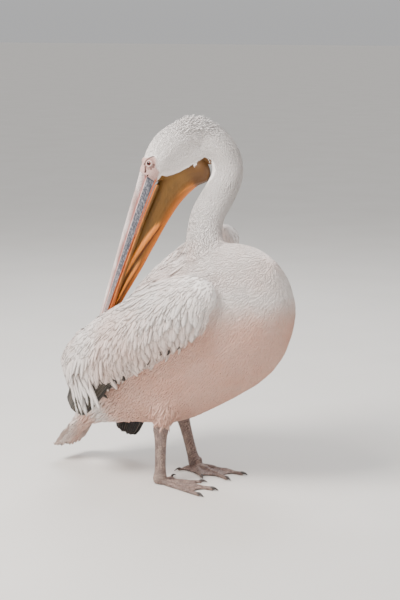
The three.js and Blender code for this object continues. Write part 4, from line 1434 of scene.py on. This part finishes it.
# ------------------------------------------------------------------ wings
def wing_spots(side, u, v):
    """Places on a wing's outer face, u along it and v from -1 at its lower edge to 1 at its upper one: place,
    normal, the wing's run and up there, and u."""
    middle, size, run, _, top = spine_frames(WINGS[side], u)
    flip = np.where(top[:, 2] > 0, 1, -1)
    tall = np.where(v * flip > 0, size[:, 1], size[:, 2])
    start = middle + OUT[side] * 90 + top * (flip * v * tall)[:, None]
    found = [tree.ray_cast(p, -OUT[side])[:2] for p in start]
    good = np.array([place is not None for place, _ in found])
    place, normal = np.array([f for f, on in zip(found, good) if on]).transpose(1, 0, 2)
    return place, normal, run[good], (top * flip[:, None])[good], u[good]


def row_places(count, reach):
    return np.linspace(*reach, count) + rng.normal(0, 0.3 / count, count)


def feather_row(coat, side, count, reach, v, down, long, half, rise, free, template=BLADE, skip=0.0):
    """One row of coverts along the wing at height v, pointing back and `down` degrees below the wing's run."""
    u = row_places(count, reach)
    u = u[rng.random(count) >= skip]
    place, normal, run, up, u = wing_spots(side, u, v + rng.normal(0, 0.035, len(u)))
    turn = np.radians(down + 18 * ease(u, 0.6, 1.0))[:, None]
    way = flat_to(run * np.cos(turn) - up * np.sin(turn), normal)
    length = long * rng.uniform(0.88, 1.12, len(place)) * (1 - 0.3 * ease(u, 0.2, 0.0))
    tips = laid(place, normal, way, length, rise * rng.uniform(0.6, 1.5, len(place)), 0.1, free)
    coat.add(template, tips, half, 0.6, 0.24, 0.05, 0.04)


def drape(coat, side, count, reach, v, down, long, half):
    """Long loose plumes hanging free past the wing's lower edge."""
    place, normal, run, up, u = wing_spots(side, row_places(count, reach), np.full(count, float(v)))
    turn = np.radians(down + rng.normal(0, 5, len(u)))[:, None]
    way = unit(run * np.cos(turn) - up * np.sin(turn))
    length = long * rng.uniform(0.8, 1.15, len(u))[:, None]
    off = OUT[side] * rng.uniform(2.5, 5, (len(u), 1))
    spine = np.stack([place, place + way * length * 0.5 + off, place + way * length + 0.6 * off], 1)
    up = np.repeat(unit(normal + OUT[side])[:, None], 3, 1)
    coat.add(PLUME, (spine, up), half, 0.5, 0.25, 0.08, 0.05)


def fan(coat, stations, flat, count, spread_root, spread_tip, half, root_u, shorter, over, lift=0.0):
    """Large flight feathers fanned between a root and the end of a swept body, across its side direction (flat)
    or its top direction. The outer ones are shorter, lie further over and, with lift, higher."""
    x = np.linspace(-1, 1, count)
    places = []
    for u, spread in ((root_u, spread_root), (0.6, (spread_root + spread_tip) * 0.55), (1.0, spread_tip)):
        middle, size, run, side, top = spine_frames(stations, np.full(count, u))
        across, wide, up = (side, size[:, 0], top) if flat else (top, size[:, 1], side)
        rise = lift * x**2 - over * np.abs(x) if flat else over * (0.5 - np.abs(x))
        place = middle + across * (x * spread * wide)[:, None] + up * rise[:, None]
        places.append(place + run * (u > 0.9) * (-shorter * x**2 + rng.normal(0, 1.2, count))[:, None])
    up = np.repeat(up[:, None], 3, 1)
    coat.add(QUILL, (np.stack(places, 1), up), half, 0.6, 0.06, 0.0, 0.0, 0.03)


# Per row: how many, reach along the wing, height on it, degrees down, length, half width, rise, how free the tips.
SECONDARIES = [
    (18, (0.22, 0.8), -0.6, 56, 54, 8.0, 0.8, 0.9, QUILL, 0.4),
    (14, (0.70, 1.0), -0.35, 74, 80, 8.0, 1.2, 0.8, QUILL, 0.2),
]
COVERTS = [
    (26, (0.12, 0.99), -0.56, 62, 58, 8.4, 3.4, 0.8, BLADE, 0.2),
    (30, (0.14, 1.0), -0.34, 58, 54, 8.6, 3.2, 0.65, BLADE, 0.04),
    (32, (0.16, 1.0), -0.1, 53, 50, 7.8, 2.8, 0.45),
    (32, (0.2, 1.0), 0.14, 47, 46, 7.0, 2.4, 0.3),
    (16, (0.66, 1.0), 0.05, 64, 84, 7.0, 4.0, 0.6),
    (16, (0.60, 1.0), 0.42, 52, 86, 6.6, 4.0, 0.6),
]
DRAPES = [  # the same up to the half width
    (9, (0.80, 0.96), -0.45, 76, 78, 6.0),
    (8, (0.84, 0.97), -0.1, 78, 96, 5.4),
    (7, (0.93, 1.0), 0.1, 84, 100, 4.6),
    (5, (0.97, 1.0), 0.45, 92, 118, 4.4),
]
for side, stations in WINGS.items():
    coat = Coat(swept_chart(stations))
    for row in SECONDARIES:
        feather_row(coat, side, *row)
    coat.make(f"secondaries_{side}", olive, "flight")

    coat = Coat(swept_chart(stations))
    fan(coat, QUILLS[side], False, 10, 0.6, 0.98, 8.5, 0.05, 5.0, 5.0)
    coat.make(f"primaries_{side}", olive if side == "right" else black, "flight", f"wing_{side}_primaries")

    coat = Coat(swept_chart(stations))
    for row in COVERTS:
        feather_row(coat, side, *row)
    for row in DRAPES:
        drape(coat, side, *row)
    coat.make(f"coverts_{side}", covert)

    # the small feathers between and above the rows
    coat = Coat(swept_chart(stations))
    place, normal, way = scatter(feathered & is_one(face_owner, f"wing_{side}"), 6.0)
    n = len(place)
    outer = ease((normal * OUT[side]).sum(1), -0.2, 0.3)
    u, _, _, top, high = around(place, stations)
    crown = ease(np.where(top[:, 2] > 0, high, -high), 30, 60)
    grown = ease(u, 0.0, 0.3)
    length = (14 + 20 * grown) * rng.uniform(0.8, 1.2, n)
    rise = 1.1 + (1.2 + 2.2 * grown) * outer * rng.random(n) ** 1.4 * (1 - 0.8 * crown)
    tips = laid(place, normal, way, length, rise, 0.14, 0.25 * outer * (1 - crown))
    coat.add(LANCE, tips, 2.8 + 1.5 * grown, 0.45, 0.3, 0.07)
    coat.make(f"coat_wing_{side}", shaggy)

# ------------------------------------------------------------------ scapular plumes and the tail
SCAPULARS = [  # reach along the back, degrees up from the side, length
    (205, 330, 62, 70), (195, 325, 50, 78), (215, 330, 78, 66), (190, 300, 38, 74),
]
count = 15
coat = Coat(body_chart)
for out in OUT.values():
    for first, last, angle, long in SCAPULARS:
        s = np.linspace(first, last, count) + rng.normal(0, 3, count)
        turn = np.radians(angle + rng.normal(0, 4, count))[:, None]
        start = s[:, None] * BODY_WAY + 270 * BACK_WAY + 190 * np.sin(turn) * BACK_WAY + 140 * np.cos(turn) * out
        place, normal = settle(start)
        way = flat_to(-BODY_WAY + 0.12 * out - 0.05 * UP, normal)
        tips = laid(place, normal, way, long * rng.uniform(0.8, 1.1, count), rng.uniform(2, 5, count), 0.08, 0.45)
        coat.add(PLUME, tips, 5.0, 0.45, 0.25, 0.06, 0.04)
coat.make("scapulars", contour)

coat = Coat(swept_chart(TAIL))
fan(coat, TAIL, True, 22, 0.4, 0.93, 8.5, 0.08, 9.0, 3.2, 4.0)
n = 70  # coverts over them, in a rounded cushion
u, x = rng.uniform(0.05, 0.62, n), rng.uniform(-0.8, 0.8, (n, 1))
middle, size, run, side, top = spine_frames(TAIL, u)
up = np.where(top[:, 2:] > 0, top, -top)
start = middle + side * x * size[:, :1] * 0.8 + up * 2
tip_way = unit(run + 0.15 * x * side) * rng.uniform(34, 56, (n, 1))
bow = up * rng.uniform(5, 17, (n, 1)) * (1 - 0.8 * x**2)
spine = np.stack([start, start + 0.5 * tip_way + bow, start + tip_way + 0.55 * bow], 1)
coat.add(PLUME, (spine, np.repeat(up[:, None], 3, 1)), 5.0, 0.5, 0.25, 0.06, 0.04)
coat.make("tail_fan", covert)

# ------------------------------------------------------------------ the floor
FLOOR_HALF, FLOOR_DROP = 60000.0, 0.5
corners = [(x * FLOOR_HALF, y * FLOOR_HALF, -FLOOR_DROP) for x, y in ((-1, -1), (1, -1), (1, 1), (-1, 1))]
floor = new_object("floor", np.array(corners), [[0, 1, 2, 3]])
paint = Paint("floor", 0.8)
floor.data.materials.append(paint.done(paint.mix(paint.noise(3, 2), "d9d5cf", "e2dfda")))

# The world meets the floor's tone at the horizon and grows brighter above it.
world = bpy.data.worlds.new("studio")
world.use_nodes = True
sky = world.node_tree
away = sky.nodes.new("ShaderNodeSeparateXYZ")
height = sky.nodes.new("ShaderNodeMapRange")
for socket, value in zip(height.inputs[1:5], (0.0, 0.35, 0.548, 0.8)):
    socket.default_value = value
sky.links.new(sky.nodes.new("ShaderNodeTexCoord").outputs["Generated"], away.inputs[0])
sky.links.new(away.outputs[2], height.inputs[0])
sky.links.new(height.outputs[0], sky.nodes["Background"].inputs[1])
sky.nodes["Background"].inputs[0].default_value = (0.93, 0.93, 0.94, 1)
bpy.context.scene.world = world
